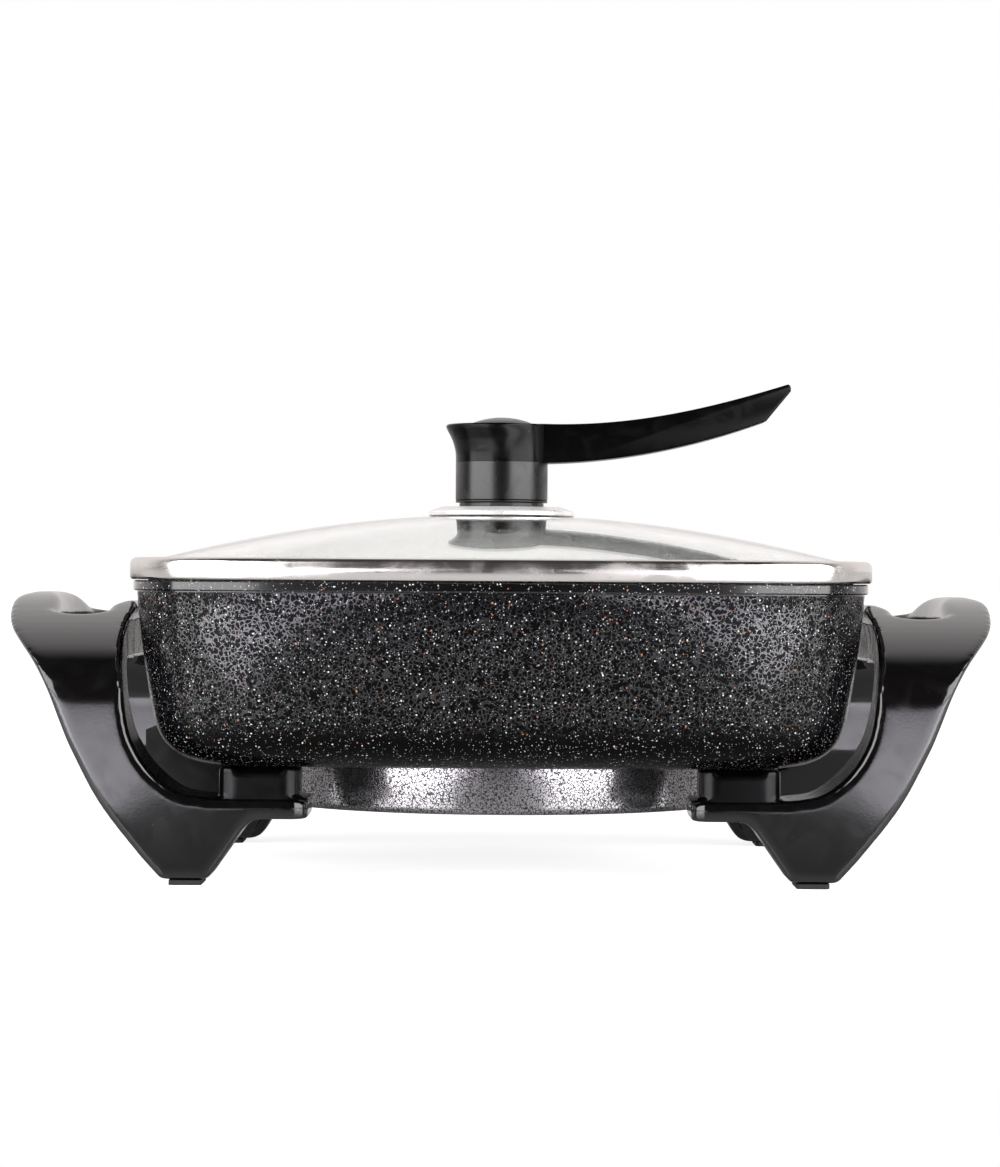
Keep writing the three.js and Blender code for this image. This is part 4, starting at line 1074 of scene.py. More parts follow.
@dataclass
class KnobStack:
    """The steel collar on the glass and the turning knob above it, with its long lever."""

    radius: float = 0.02075
    top_radius: float = 0.0229
    top_shift: float = -0.00235
    hub_low: float = 0.1804
    hub_height: float = 0.0169
    cap_radius: float = 0.0135
    cap_low: float = 0.1967
    cap_top: float = 0.2006
    root_width: float = 0.018
    tip_width: float = 0.024
    lever_top: tuple[tuple[float, float], ...] = ((19, 197.6), (60, 196.5), (95, 205.5), (128.5, 216))
    lever_under: tuple[tuple[float, float], ...] = ((19, 179.9), (60, 180.6), (95, 190.6), (118.4, 199.3))
    lever_tip: tuple[tuple[float, float], ...] = ((129.3, 212.6), (129.5, 214.6))

    def collar(self) -> bpy.types.Object:
        """Spins the steel collar."""
        section = rounded([
            (3.2 * MM, 159.1 * MM), (17 * MM, 159.1 * MM), (20 * MM, 158.6 * MM, MM), (31.2 * MM, 156.0 * MM, MM),
            (32.8 * MM, 156.0 * MM, 0.6 * MM), (32.8 * MM, 158.2 * MM, 1.4 * MM), (27.0 * MM, 160.1 * MM, 3 * MM),
            (3.2 * MM, 160.1 * MM), (3.2 * MM, 159.1 * MM),
        ], 6)
        return turned("collar", section, 144)

    def base(self) -> bpy.types.Object:
        """Turns the knob's lower half with the groove above its foot."""
        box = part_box("knob_base")
        low, high = box[0][2], box[1][2]
        r, soft = self.radius, 0.4 * MM
        section = rounded([
            (3.2 * MM, low), (r, low, soft), (r, low + 0.7 * MM), (r - 0.35 * MM, low + MM), (r, low + 1.3 * MM),
            (r, high, 0.15 * MM), (3.2 * MM, high), (3.2 * MM, low),
        ], 5)
        return turned("knob_base_turned", section, 96)

    def hub(self) -> bpy.types.Object:
        """Makes the flared head of the knob from a stack of rings."""
        rings = spline([(0.0, 0.0), (0.15, 0.01), (0.3, 0.06), (0.45, 0.19), (0.6, 0.38), (0.73, 0.62), (0.85, 0.86),
                        (0.93, 0.98), (0.965, 0.99), (1.0, 0.84)], 45)
        hub = turned("hub", [(0, 0)] + [(1, share) for share, _ in rings] + [(0, 1)], 144)
        for vertex in hub.data.vertices:
            share = vertex.co.z
            flare = min(rings, key=lambda ring: abs(ring[0] - share))[1]
            radius = self.radius + (self.top_radius - self.radius) * flare
            vertex.co.x = vertex.co.x * radius + self.top_shift * flare
            vertex.co.y = vertex.co.y * radius
            vertex.co.z = self.hub_low + self.hub_height * share
        return hub

    def lever(self) -> bpy.types.Object:
        """Makes the curved lever that narrows to its tip."""
        upper = bezier([(x * MM, z * MM) for x, z in self.lever_top], 36)
        under = bezier([(x * MM, z * MM) for x, z in self.lever_under], 36)
        tip = [(x * MM, z * MM) for x, z in self.lever_tip]
        root = [(0.016, self.lever_top[0][1] * MM), (0.016, self.hub_low + 0.3 * MM)]
        outline = root + under + tip + upper[::-1]
        half, tip_half = self.root_width / 2, self.tip_width / 2
        broad = 2 * max(half, tip_half)
        side = prism("lever", [Vector((x, -broad, z)) for x, z in outline], Vector((0, 2 * broad, 0)))
        reach = 0.135
        plan = [(0, -half), (self.radius, -half), (reach, -tip_half), (reach, tip_half), (self.radius, half), (0, half)]
        taper = prism("lever_plan", [Vector((x, y, 0.17)) for x, y in plan], Vector((0, 0, 0.06)))
        lever = combine(side, taper, Join.KEEP_COMMON)
        apply(lever, "BEVEL", width=0.9 * MM, segments=4, limit_method="ANGLE", angle_limit=math.radians(40))
        return smooth(lever, 30)

    def head(self) -> bpy.types.Object:
        """Moulds hub and lever in one.

        Returns:
            The lever handle.
        """
        r = self.cap_radius + 0.4 * MM
        recess = turned("cap_recess", [(0, self.cap_low - 0.4 * MM), (r, self.cap_low - 0.4 * MM), (r, 0.21), (0, 0.21)], 144)
        hub = smooth(combine(self.hub(), recess, Join.TAKE_AWAY))
        return join([hub, self.lever()])

    def cap(self) -> bpy.types.Object:
        """Turns the shallow cap in the knob's head."""
        rise = self.cap_top - 0.1981
        crown = [(self.cap_radius * (1 - i / 10), 0.1981 + rise * (1 - (1 - i / 10) ** 2)) for i in range(1, 10)]
        section = [(0, self.cap_low), (self.cap_radius - 0.3 * MM, self.cap_low), (self.cap_radius, self.cap_low + 0.3 * MM)]
        section += [(self.cap_radius, 0.1978), *crown, (0, self.cap_top)]
        return turned("knob_cap_turned", section, 72)

    def build(self, brushed: Skin, satin: Skin, glossy: Skin, cap: Skin) -> None:
        """Builds collar, knob, lever and cap and hands them over.

        Args:
            brushed: The brushed steel.
            satin: The knob's moulding compound.
            glossy: The lever's moulding compound.
            cap: The cap's moulding compound.
        """
        seat(self.collar(), "lid", "polished_steel", brushed, "knob_collar")
        seat(self.base(), "knob", "knob_plastic", satin, "knob_base")
        head = self.head()
        head.name = "lever_moulding"
        seat(head, "knob", "knob_plastic", glossy, "lever_handle")
        seat(self.cap(), "knob", "knob_cap_plastic", cap, "knob_cap")


# Finishes


class Graph:
    """Places and joins the nodes of one material or node group."""

    def __init__(self, tree: bpy.types.NodeTree) -> None:
        """Starts with an empty tree."""
        self.tree = tree
        tree.nodes.clear()

    def add(self, kind: str, inputs: dict | None = None, **settings: object) -> bpy.types.Node:
        """Adds a node.

        Args:
            kind: The node's type.
            inputs: Values or sockets for its inputs, by name or place.
            **settings: The node's own settings.

        Returns:
            The node.
        """
        node = self.tree.nodes.new(kind)
        for key, value in settings.items():
            setattr(node, key, value)
        for key, value in (inputs or {}).items():
            if isinstance(value, bpy.types.NodeSocket):
                self.tree.links.new(value, node.inputs[key])
            else:
                node.inputs[key].default_value = value
        return node

    def math(self, operation: str, *values: object) -> bpy.types.NodeSocket:
        """Adds a Math node and gives its output."""
        return self.add("ShaderNodeMath", dict(enumerate(values)), operation=operation).outputs[0]

    def step(self, value: bpy.types.NodeSocket, low: float, high: float, out_low: float = 0, out_high: float = 1) -> bpy.types.NodeSocket:
        """Maps a range smoothly onto another and gives the output."""
        inputs = {"Value": value, "From Min": low, "From Max": high, "To Min": out_low, "To Max": out_high}
        return self.add("ShaderNodeMapRange", inputs, interpolation_type="SMOOTHSTEP").outputs[0]

    def mix(self, share: object, first: object, second: object) -> bpy.types.NodeSocket:
        """Mixes two colours and gives the output."""
        node = self.add("ShaderNodeMix", {0: share, 6: first, 7: second}, data_type="RGBA")
        return node.outputs[2]

    def noise(self, where: object, scale: float, detail: float = 2, **settings: float) -> bpy.types.NodeSocket:
        """Adds a noise texture and gives its value."""
        inputs = {"Vector": where, "Scale": scale, "Detail": detail, **settings}
        return self.add("ShaderNodeTexNoise", inputs).outputs[0]


def effect(name: str, inputs: dict[str, float], outputs: Sequence[str]) -> tuple[Graph, bpy.types.Node]:
    """Starts a node group that several finishes use.

    Args:
        name: The group's name.
        inputs: Its number inputs and what they are at first.
        outputs: Its number outputs.

    Returns:
        The group's graph and its input node.
    """
    tree = bpy.data.node_groups.new(name, "ShaderNodeTree")
    graph = Graph(tree)
    tree.interface.new_socket("Vector", in_out="INPUT", socket_type="NodeSocketVector")
    for key, value in inputs.items():
        tree.interface.new_socket(key, in_out="INPUT", socket_type="NodeSocketFloat").default_value = value
    for key in outputs:
        tree.interface.new_socket(key, in_out="OUTPUT", socket_type="NodeSocketFloat")
    return graph, graph.add("NodeGroupInput")


def moulded_grain() -> bpy.types.NodeTree:
    """Makes the effect of moulded plastic: flow marks, fine grain and wiping marks.

    Returns:
        The group, which puts out Height, Tone and Wipe.
    """
    graph, start = effect("moulded_grain", {"Grain Size": 0.0004, "Flow Size": 0.03}, ("Height", "Tone", "Wipe"))
    where = start.outputs["Vector"]
    fine = graph.noise(where, graph.math("DIVIDE", 1.0, start.outputs["Grain Size"]), 2)
    flow = graph.noise(where, graph.math("DIVIDE", 1.0, start.outputs["Flow Size"]), 3, Distortion=0.6)
    wipe = graph.noise(where, 70.0, 5, Distortion=1.2)
    height = graph.math("MULTIPLY_ADD", flow, 0.25, fine)
    end = {"Height": height, "Tone": graph.step(flow, 0.3, 0.7), "Wipe": graph.step(wipe, 0.42, 0.68)}
    graph.add("NodeGroupOutput", end)
    return graph.tree


def fleck() -> bpy.types.NodeTree:
    """Makes the effect of round flecks, each in its own cell.

    Returns:
        The group, which puts out Mask and Pick, a number that differs from cell to cell.
    """
    graph, start = effect("fleck", {"Spacing": 0.0014, "Radius": 0.3, "Density": 0.5}, ("Mask", "Pick"))
    scale = graph.math("DIVIDE", 1.0, start.outputs["Spacing"])
    cell = graph.add("ShaderNodeTexVoronoi", {"Vector": start.outputs["Vector"], "Scale": scale})
    parts = graph.add("ShaderNodeSeparateColor", {0: cell.outputs["Color"]})
    size = graph.math("MULTIPLY", start.outputs["Radius"], graph.math("MULTIPLY_ADD", parts.outputs[1], 0.7, 0.5))
    inside = graph.math("LESS_THAN", cell.outputs["Distance"], size)
    chosen = graph.math("LESS_THAN", parts.outputs[0], start.outputs["Density"])
    graph.add("NodeGroupOutput", {"Mask": graph.math("MULTIPLY", inside, chosen), "Pick": parts.outputs[2]})
    return graph.tree


def drawn_metal() -> bpy.types.NodeTree:
    """Makes the effect of drawn and polished sheet: fine lines, soft waves and handling marks.

    Returns:
        The group, which puts out Height and Haze.
    """
    graph, start = effect("drawn_metal", {"Line Size": 0.0003, "Wave Size": 0.02}, ("Height", "Haze"))
    squeezed = graph.add("ShaderNodeMapping", {"Vector": start.outputs["Vector"], "Scale": (0.06, 0.06, 1.0)})
    scale = graph.math("DIVIDE", 1.0, start.outputs["Line Size"])
    lines = graph.noise(squeezed.outputs[0], scale, 2)
    wave = graph.noise(start.outputs["Vector"], graph.math("DIVIDE", 1.0, start.outputs["Wave Size"]), 1)
    haze = graph.noise(start.outputs["Vector"], 55.0, 5, Distortion=0.8)
    height = graph.math("MULTIPLY_ADD", wave, 0.6, graph.math("MULTIPLY", lines, 0.15))
    graph.add("NodeGroupOutput", {"Height": height, "Haze": graph.step(haze, 0.38, 0.72)})
    return graph.tree


class Effects(Enum):
    """The shared effects, each built once."""

    GRAIN = moulded_grain()
    FLECK = fleck()
    METAL = drawn_metal()


Colour = tuple[float, float, float]


@dataclass(frozen=True)
class Finish:
    """A finish with the values that every one has."""

    name: str
    colour: Colour
    roughness: float = 0.4
    metallic: float = 0.0
    specular: float = 0.5

    def start(self) -> tuple[bpy.types.Material, Graph, bpy.types.NodeSocket]:
        """Opens the material.

        Returns:
            The material, its graph and the place on the object.
        """
        material = bpy.data.materials.new(self.name)
        material.use_nodes = True
        graph = Graph(material.node_tree)
        return material, graph, graph.add("ShaderNodeTexCoord").outputs["Object"]

    def use(self, graph: Graph, kind: Effects, where: bpy.types.NodeSocket, **values: float) -> bpy.types.Node:
        """Places a shared effect with this finish's own values."""
        node = graph.add("ShaderNodeGroup", node_tree=kind.value)
        graph.tree.links.new(where, node.inputs["Vector"])
        for key, value in values.items():
            node.inputs[key.replace("_", " ")].default_value = value
        return node

    def shade(self, graph: Graph, inputs: dict) -> None:
        """Puts the surface shader at the end.

        Args:
            graph: The material's graph.
            inputs: What differs from the finish's own values.
        """
        own = {"Base Color": (*self.colour, 1), "Roughness": self.roughness, "Metallic": self.metallic,
               "Specular IOR Level": self.specular}
        shader = graph.add("ShaderNodeBsdfPrincipled", {**own, **inputs})
        graph.add("ShaderNodeOutputMaterial", {"Surface": shader.outputs[0]})

    def bump(self, graph: Graph, height: bpy.types.NodeSocket, distance: float, strength: float = 1.0) -> bpy.types.NodeSocket:
        """Turns a height into a normal."""
        return graph.add("ShaderNodeBump", {"Height": height, "Distance": distance, "Strength": strength}).outputs[0]


@dataclass(frozen=True)
class Moulded(Finish):
    """Moulded plastic or rubber."""

    grain: float = 0.0004
    relief: float = 0.00001
    dust: Colour = (0.3, 0.3, 0.3)
    dust_share: float = 0.02
    coat: float = 0.0

    def build(self) -> bpy.types.Material:
        """Builds the material."""
        material, graph, where = self.start()
        skin = self.use(graph, Effects.GRAIN, where, Grain_Size=self.grain)
        spots = self.use(graph, Effects.FLECK, where, Spacing=0.004, Radius=0.035, Density=0.35)
        tone = graph.mix(graph.math("MULTIPLY", skin.outputs["Tone"], 0.35), (*self.colour, 1), (*(c * 1.5 for c in self.colour), 1))
        share = graph.math("MULTIPLY", spots.outputs["Mask"], 0.5)
        share = graph.math("MULTIPLY_ADD", skin.outputs["Wipe"], self.dust_share, share)
        colour = graph.mix(share, tone, (*self.dust, 1))
        rough = graph.math("MULTIPLY_ADD", skin.outputs["Wipe"], self.roughness * 0.35, self.roughness * 0.88)
        normal = self.bump(graph, skin.outputs["Height"], self.relief)
        extra = {"Coat Weight": self.coat, "Coat Roughness": 0.04} if self.coat else {}
        self.shade(graph, {"Base Color": colour, "Roughness": rough, "Normal": normal, **extra})
        return material


@dataclass(frozen=True)
class SheetMetal(Finish):
    """Drawn, polished or machined metal."""

    line: float = 0.0003
    wave: float = 0.03
    relief: float = 0.000004
    stain: Colour = (0.5, 0.45, 0.4)
    stain_share: float = 0.12

    def build(self) -> bpy.types.Material:
        """Builds the material."""
        material, graph, where = self.start()
        skin = self.use(graph, Effects.METAL, where, Line_Size=self.line, Wave_Size=self.wave)
        colour = graph.mix(graph.math("MULTIPLY", skin.outputs["Haze"], self.stain_share), (*self.colour, 1), (*self.stain, 1))
        rough = graph.math("MULTIPLY_ADD", skin.outputs["Haze"], self.roughness * 0.8, self.roughness * 0.7)
        normal = self.bump(graph, skin.outputs["Height"], self.relief)
        self.shade(graph, {"Base Color": colour, "Roughness": rough, "Normal": normal})
        return material


@dataclass(frozen=True)
class SpeckledCoating(Finish):
    """The pan's black wrinkled coating with pale and copper flecks, and a painted highlight on its wrinkle ridges."""

    ridge: float = 0.0018
    ridge_relief: float = 0.00013
    # Colour of the wrinkle ridges: a painted highlight, lighter than the flats for the light that the ridge tops catch.
    ridge_highlight_colour: Colour = (0.011, 0.0105, 0.012)
    smooth_below: float = 0.060
    wrinkled_above: float = 0.074
    lip_from: float = 0.1212

    def build(self) -> bpy.types.Material:
        """Builds the material."""
        material, graph, where = self.start()
        height = graph.add("ShaderNodeSeparateXYZ", {0: where}).outputs["Z"]
        low = graph.step(height, self.smooth_below, self.wrinkled_above)
        high = graph.step(height, self.lip_from, self.lip_from + 0.0006, 1, 0)
        area = graph.math("MULTIPLY", low, high)
        drift = graph.add("ShaderNodeTexNoise", {"Vector": where, "Scale": 120.0, "Detail": 1}, noise_dimensions="3D")
        shifted = graph.add("ShaderNodeVectorMath", {0: drift.outputs["Color"], 1: (0.0035, 0.0035, 0.0035)}, operation="MULTIPLY")
        moved = graph.add("ShaderNodeVectorMath", {0: where, 1: shifted.outputs[0]}, operation="ADD").outputs[0]
        cells = graph.add("ShaderNodeTexVoronoi", {"Vector": moved, "Scale": 1 / self.ridge}, feature="DISTANCE_TO_EDGE")
        ridge = graph.step(cells.outputs["Distance"], 0.05, 0.14, 1, 0)
        broken = graph.step(graph.noise(where, 420.0, 1), 0.36, 0.48)
        worm = graph.math("MULTIPLY", graph.math("MULTIPLY", ridge, broken), area)
        pale = self.use(graph, Effects.FLECK, moved, Spacing=0.0014, Radius=0.22, Density=0.5)
        fine = self.use(graph, Effects.FLECK, moved, Spacing=0.0009, Radius=0.22, Density=0.5)
        copper = self.use(graph, Effects.FLECK, moved, Spacing=0.0021, Radius=0.17, Density=0.16)
        # The ridges take the lighter ridge colour, a painted highlight on their tops, only in the wrinkled band above
        # the smooth lower wall.
        colour = graph.mix(worm, (*self.colour, 1), (*self.ridge_highlight_colour, 1))
        strength = graph.math("MULTIPLY_ADD", pale.outputs["Pick"], 0.75, 0.15)
        colour = graph.mix(graph.math("MULTIPLY", copper.outputs["Mask"], 0.8), colour, (0.42, 0.16, 0.07, 1))
        colour = graph.mix(graph.math("MULTIPLY", fine.outputs["Mask"], 0.4), colour, (0.55, 0.56, 0.58, 1))
        colour = graph.mix(graph.math("MULTIPLY", pale.outputs["Mask"], strength), colour, (0.8, 0.81, 0.82, 1))
        rise = graph.math("MULTIPLY_ADD", pale.outputs["Mask"], 0.2, worm)
        rise = graph.math("MULTIPLY_ADD", graph.noise(where, 1500.0, 2), 0.1, rise)
        matt = graph.math("MULTIPLY_ADD", graph.noise(where, 300.0, 3), 0.06, self.roughness)
        gloss = graph.math("MAXIMUM", worm, graph.math("SUBTRACT", 1.0, high))
        self.shade(graph, {"Base Color": colour, "Roughness": matt, "Normal": self.bump(graph, rise, self.ridge_relief),
                           "Coat Weight": gloss, "Coat Roughness": 0.12, "Coat IOR": 1.6})
        return material


@dataclass(frozen=True)
class HammeredPaint(Finish):
    """Silver paint with a hammered grain, near-black and not metallic in the low grooves between its cells."""

    grain: float = 0.0012

    def build(self) -> bpy.types.Material:
        """Builds the material."""
        material, graph, where = self.start()
        drift = graph.add("ShaderNodeTexNoise", {"Vector": where, "Scale": 0.7 / self.grain, "Detail": 1})
        shifted = graph.add("ShaderNodeVectorMath", {0: drift.outputs["Color"], 1: (self.grain,) * 3}, operation="MULTIPLY")
        moved = graph.add("ShaderNodeVectorMath", {0: where, 1: shifted.outputs[0]}, operation="ADD").outputs[0]
        cells = graph.add("ShaderNodeTexVoronoi", {"Vector": moved, "Scale": 1 / self.grain}, feature="DISTANCE_TO_EDGE")
        patch = graph.noise(where, 1.1 / self.grain, 1)
        edge = graph.math("MULTIPLY_ADD", graph.math("SUBTRACT", patch, 0.5), 0.4, cells.outputs["Distance"])
        dark = graph.step(edge, 0.04, 0.14, 1, 0)
        colour = graph.mix(dark, (*self.colour, 1), (0.012, 0.012, 0.014, 1))
        metal = graph.math("SUBTRACT", 1.0, dark)
        rough = graph.math("MULTIPLY_ADD", graph.noise(where, 500.0, 2), 0.2, self.roughness - 0.1)
        normal = self.bump(graph, graph.math("SUBTRACT", 1.0, dark), 0.000015)
        self.shade(graph, {"Base Color": colour, "Metallic": metal, "Roughness": rough, "Normal": normal})
        return material


@dataclass(frozen=True)
class TemperedGlass(Finish):
    """Clear glass with a faint green body and wiping marks."""

    def build(self) -> bpy.types.Material:
        """Builds the material."""
        material, graph, where = self.start()
        skin = self.use(graph, Effects.METAL, where, Line_Size=0.004, Wave_Size=0.05)
        rough = graph.math("MULTIPLY_ADD", skin.outputs["Haze"], 0.02, self.roughness)
        normal = self.bump(graph, skin.outputs["Height"], 0.000006)
        self.shade(graph, {"Roughness": rough, "Normal": normal, "Transmission Weight": 1.0, "IOR": 1.5})
        return material


@dataclass(frozen=True)
class Ceramic(Finish):
    """Unglazed ceramic with pits, coloured darker brown in the pits."""

    def build(self) -> bpy.types.Material:
        """Builds the material."""
        material, graph, where = self.start()
        pits = self.use(graph, Effects.FLECK, where, Spacing=0.0009, Radius=0.2, Density=0.4)
        colour = graph.mix(graph.math("MULTIPLY", pits.outputs["Mask"], 0.45), (*self.colour, 1), (0.35, 0.3, 0.24, 1))
        grain = graph.noise(where, 2500.0, 3)
        height = graph.math("SUBTRACT", grain, pits.outputs["Mask"])
        self.shade(graph, {"Base Color": colour, "Normal": self.bump(graph, height, 0.00004)})
        return material


# Studio


@dataclass
class Studio:
    """A glossy white table in front of a white backdrop, with a soft box on either side of the camera."""

    camera_distance: float = 1.5
    camera_height: float = 0.1273
    lens: float = 102.48
    yaw: float = 0.017
    pitch: float = -0.06
    roll: float = 0.38
    box_inner: tuple[float, float] = (0.68, -1.68)
    box_outer: tuple[float, float] = (1.79, -0.17)
    box_low: float = 0.03
    box_height: float = 1.25
    box_radiance: float = 5.0
    card_size: tuple[float, float] = (0.50, 1.76)
    card_place: tuple[float, float, float] = (0.455, -1.22, 0.002)
    card_radiance: float = 4.2
    card_tint: Colour = (0.95, 0.92, 1.0)
    sky: float = 0.2
    table_front: float = -0.66
    table_reach: float = 30.0
    table_colour: float = 0.72
    backdrop_tint: Colour = (1.0, 0.965, 0.955)

    def camera(self) -> None:
        """Sets the camera where the photograph was taken from."""
        data = bpy.data.cameras.new("camera")
        data.lens = self.lens
        data.clip_end = 50
        camera = bpy.data.objects.new("camera", data)
        bpy.context.scene.collection.objects.link(camera)
        turn = Matrix.Rotation(math.radians(self.yaw), 4, "Z")
        tilt = Matrix.Rotation(math.radians(90 + self.pitch), 4, "X")
        roll = Matrix.Rotation(math.radians(self.roll), 4, "Z")
        place = Matrix.Translation((0, -self.camera_distance, self.camera_height))
        camera.matrix_world = place @ turn @ tilt @ roll
        bpy.context.scene.camera = camera

    def lights(self) -> None:
        """Stands the two soft boxes and lays a pale card on the table before each."""
        inner, outer = Vector(self.box_inner), Vector(self.box_outer)
        width = (outer - inner).length
        middle = (inner + outer) / 2
        height = self.box_low + self.box_height / 2
        for sign in (-1, 1):
            place = Vector((sign * middle.x, middle.y, height))
            self.panel("soft_box", place, Vector((0, 0, height)), (width, self.box_height), self.box_radiance)
            card = Vector((sign * self.card_place[0], *self.card_place[1:]))
            above = card + Vector((0, 0, 1))
            self.panel("card", card, above, self.card_size, self.card_radiance, self.card_tint)

    def panel(
        self, name: str, place: Vector, aim: Vector, size: tuple[float, float], radiance: float, tint: Colour = (1, 1, 1)
    ) -> None:
        """Adds one rectangular light.

        Args:
            name: The light's name.
            place: Where it stands.
            aim: The point that it faces.
            size: Its width and height.
            radiance: How bright its face is, where 1 is white.
            tint: The colour of its light.
        """
        data = bpy.data.lights.new(name, "AREA")
        data.shape = "RECTANGLE"
        data.size, data.size_y = size
        data.energy = radiance * math.pi * size[0] * size[1]
        data.color = tint
        light = bpy.data.objects.new(name, data)
        bpy.context.scene.collection.objects.link(light)
        light.location = place
        light.rotation_euler = (aim - place).to_track_quat("-Z", "Y").to_euler()
        light.visible_camera = False

    def world(self) -> None:
        """Makes the surroundings: white where seen directly, white behind the object and dim in front of it."""
        world = bpy.data.worlds.new("studio")
        bpy.context.scene.world = world
        world.use_nodes = True
        graph = Graph(world.node_tree)
        rays = graph.add("ShaderNodeLightPath")
        where = graph.add("ShaderNodeTexCoord").outputs["Generated"]
        forward = graph.add("ShaderNodeSeparateXYZ", {0: where}).outputs["Y"]
        behind = graph.step(forward, 0.0, 0.55, 0.04, 0.88)
        plain = graph.math("MAXIMUM", rays.outputs["Is Camera Ray"], rays.outputs["Is Transmission Ray"])
        seen = graph.math("MULTIPLY", rays.outputs["Is Glossy Ray"], behind)
        unseen = graph.math("SUBTRACT", 1.0, graph.math("MAXIMUM", plain, rays.outputs["Is Glossy Ray"]))
        level = graph.math("ADD", graph.math("ADD", plain, seen), graph.math("MULTIPLY", unseen, self.sky))
        tint = graph.mix(rays.outputs["Is Glossy Ray"], (1, 1, 1, 1), (*self.backdrop_tint, 1))
        shade = graph.add("ShaderNodeBackground", {"Color": tint, "Strength": level})
        graph.add("ShaderNodeOutputWorld", {"Surface": shade.outputs[0]})

    def table(self) -> None:
        """Lays the white table, which keeps the object's shadow and mirrors the lights in low gloss."""
        deselect()
        depth = self.table_reach - self.table_front
        bpy.ops.mesh.primitive_plane_add(size=1, location=(0, (self.table_reach + self.table_front) / 2, 0))
        table = bpy.context.active_object
        table.name = "studio_table"
        table.scale = (2 * self.table_reach, depth, 1)
        bpy.ops.object.transform_apply(location=True, scale=True)
        material = bpy.data.materials.new("table")
        material.use_nodes = True
        graph = Graph(material.node_tree)
        rays = graph.add("ShaderNodeLightPath")
        where = graph.add("ShaderNodeTexCoord").outputs["Object"]
        away = graph.add("ShaderNodeVectorMath", {0: where}, operation="LENGTH").outputs["Value"]
        white = (*(self.table_colour,) * 3, 1)
        paper = graph.add("ShaderNodeBsdfDiffuse", {"Color": white})
        lift = graph.step(away, 0.5, 1.6, 0.84, 1.0)
        glow = graph.add("ShaderNodeEmission", {"Color": (1, 1, 1, 1), "Strength": lift})
        seen = graph.add("ShaderNodeAddShader", {0: paper.outputs[0], 1: glow.outputs[0]})
        sheet = graph.add("ShaderNodeBsdfPrincipled", {"Base Color": white, "Roughness": 0.12})
        plain = graph.math("MAXIMUM", rays.outputs["Is Camera Ray"], rays.outputs["Is Transmission Ray"])
        both = graph.add("ShaderNodeMixShader", {0: plain, 1: sheet.outputs[0], 2: seen.outputs[0]})
        graph.add("ShaderNodeOutputMaterial", {"Surface": both.outputs[0]})
        table.data.materials.append(material)

    def build(self) -> None:
        """Sets up the whole studio."""
        bpy.context.scene.view_settings.view_transform = "Standard"
        self.camera()
        self.lights()
        self.world()
        self.table()
        LOG.info("studio: camera at %.3f m, two soft boxes", self.camera_distance)


# Assembly

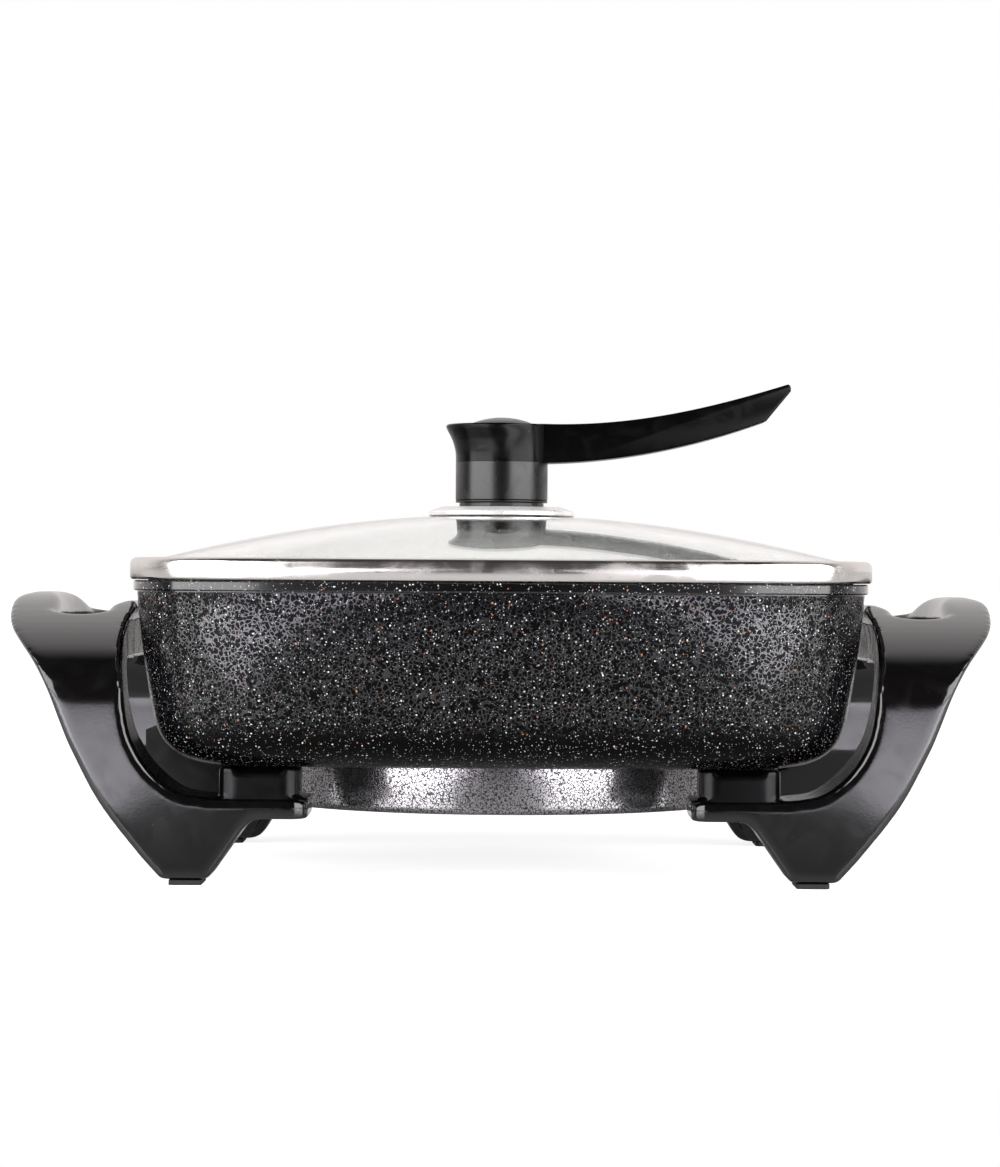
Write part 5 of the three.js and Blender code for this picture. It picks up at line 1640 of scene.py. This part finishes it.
# Finish of each CAD node that stays as it is, by the start of its name.
CARRIED = {
    "heat_plate": SheetMetal("die_cast_aluminium", (0.42, 0.42, 0.43), 0.45, 1.0, relief=0.00002, line=0.002),
    "heating_element": SheetMetal("element_sheath", (0.16, 0.14, 0.13), 0.5, 0.9, relief=0.00001, stain=(0.1, 0.06, 0.09), stain_share=0.6),
    "sensor_well": SheetMetal("brass", (0.55, 0.38, 0.14), 0.3, 1.0, stain=(0.3, 0.16, 0.06)),
    "knob_insert": SheetMetal("insert_brass", (0.55, 0.38, 0.14), 0.35, 1.0, stain=(0.3, 0.16, 0.06)),
    "terminal_pin": SheetMetal("pin_steel", (0.5, 0.49, 0.47), 0.25, 1.0),
    "terminal_bush": Ceramic("bush_ceramic", (0.72, 0.68, 0.6), 0.7),
    "probe_socket_housing": Moulded("socket_plastic", (0.012, 0.012, 0.013), 0.4, grain=0.0003, relief=0.00003),
    "cover_screw": SheetMetal("plated_screw", (0.42, 0.41, 0.4), 0.35, 1.0, line=0.0002),
    "socket_screw": SheetMetal("plated_socket_screw", (0.42, 0.41, 0.4), 0.35, 1.0, line=0.0002),
    "handle_screw": SheetMetal("plated_handle_screw", (0.3, 0.3, 0.3), 0.35, 1.0, line=0.0002),
    "foot_pad": Moulded("foot_rubber", (0.014, 0.014, 0.014), 0.75, grain=0.0003, relief=0.00004),
    "upper_gasket": Moulded("upper_silicone", (0.62, 0.63, 0.61), 0.55, grain=0.0006),
    "lower_gasket": Moulded("lower_silicone", (0.62, 0.63, 0.61), 0.55, grain=0.0006),
    "knob_seat_ring": Moulded("seat_ring", (0.012, 0.012, 0.012), 0.35, grain=0.0004),
    "knob_screw": SheetMetal("stud_steel", (0.5, 0.49, 0.47), 0.28, 1.0, line=0.0002),
}


def dress_carried_nodes() -> None:
    """Gives the CAD nodes that stay their finishes."""
    for start, finish in CARRIED.items():
        material = finish.build()
        for name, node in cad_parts.items():
            if name.startswith(start):
                for slot in node.material_slots:
                    slot.material = material
                LOG.info("%s: finished as %s", name, finish.name)


def main() -> None:
    """Builds the skillet in order, from the pan to the knob, and then the studio."""
    logging.basicConfig(level=logging.INFO, format="%(name)s: %(message)s")
    pan = Pan()
    # The polished steel's colour is its own pale grey warmed by a painted reflection of warm surroundings.
    steel = SheetMetal("polished_steel", (0.80, 0.765, 0.74), 0.22, 1.0, relief=0.000003).build()
    brushed = SheetMetal("brushed_steel", (0.9, 0.88, 0.87), 0.34, 0.4, relief=0.000004).build()
    phenolic = Moulded("glossy_phenolic", (0.0014, 0.0011, 0.0013), 0.11, specular=0.8, relief=0.000006, grain=0.0012, dust_share=0.004).build()
    lining = Moulded("liner_phenolic", (0.0014, 0.0013, 0.0016), 0.2, specular=0.22, relief=0.000001, grain=0.0012, dust_share=0.004).build()
    satin = Moulded("knob_plastic", (0.0012, 0.001, 0.0009), 0.3, specular=0.55, relief=0.000012, dust_share=0.002).build()
    glossy = Moulded("lever_plastic", (0.0009, 0.0008, 0.0007), 0.22, specular=0.18, relief=0.000003, dust_share=0.001).build()
    cap = Moulded("cap_plastic", (0.05, 0.048, 0.047), 0.3, relief=0.00001).build()
    glass = TemperedGlass("tempered_glass", (0.80, 0.822, 0.812), 0.01).build()
    pan.build(SpeckledCoating("speckled_coating", (0.0012, 0.0011, 0.0013), 0.22, specular=0.07).build())
    SkirtCover().build(HammeredPaint("hammered_paint", (0.45, 0.43, 0.45), 0.17).build())
    Moulding(pan).build(phenolic, lining)
    Lid().build(glass, steel)
    KnobStack().build(brushed, satin, glossy, cap)
    dress_carried_nodes()
    Studio().build()


if __name__ == "__main__":
    main()
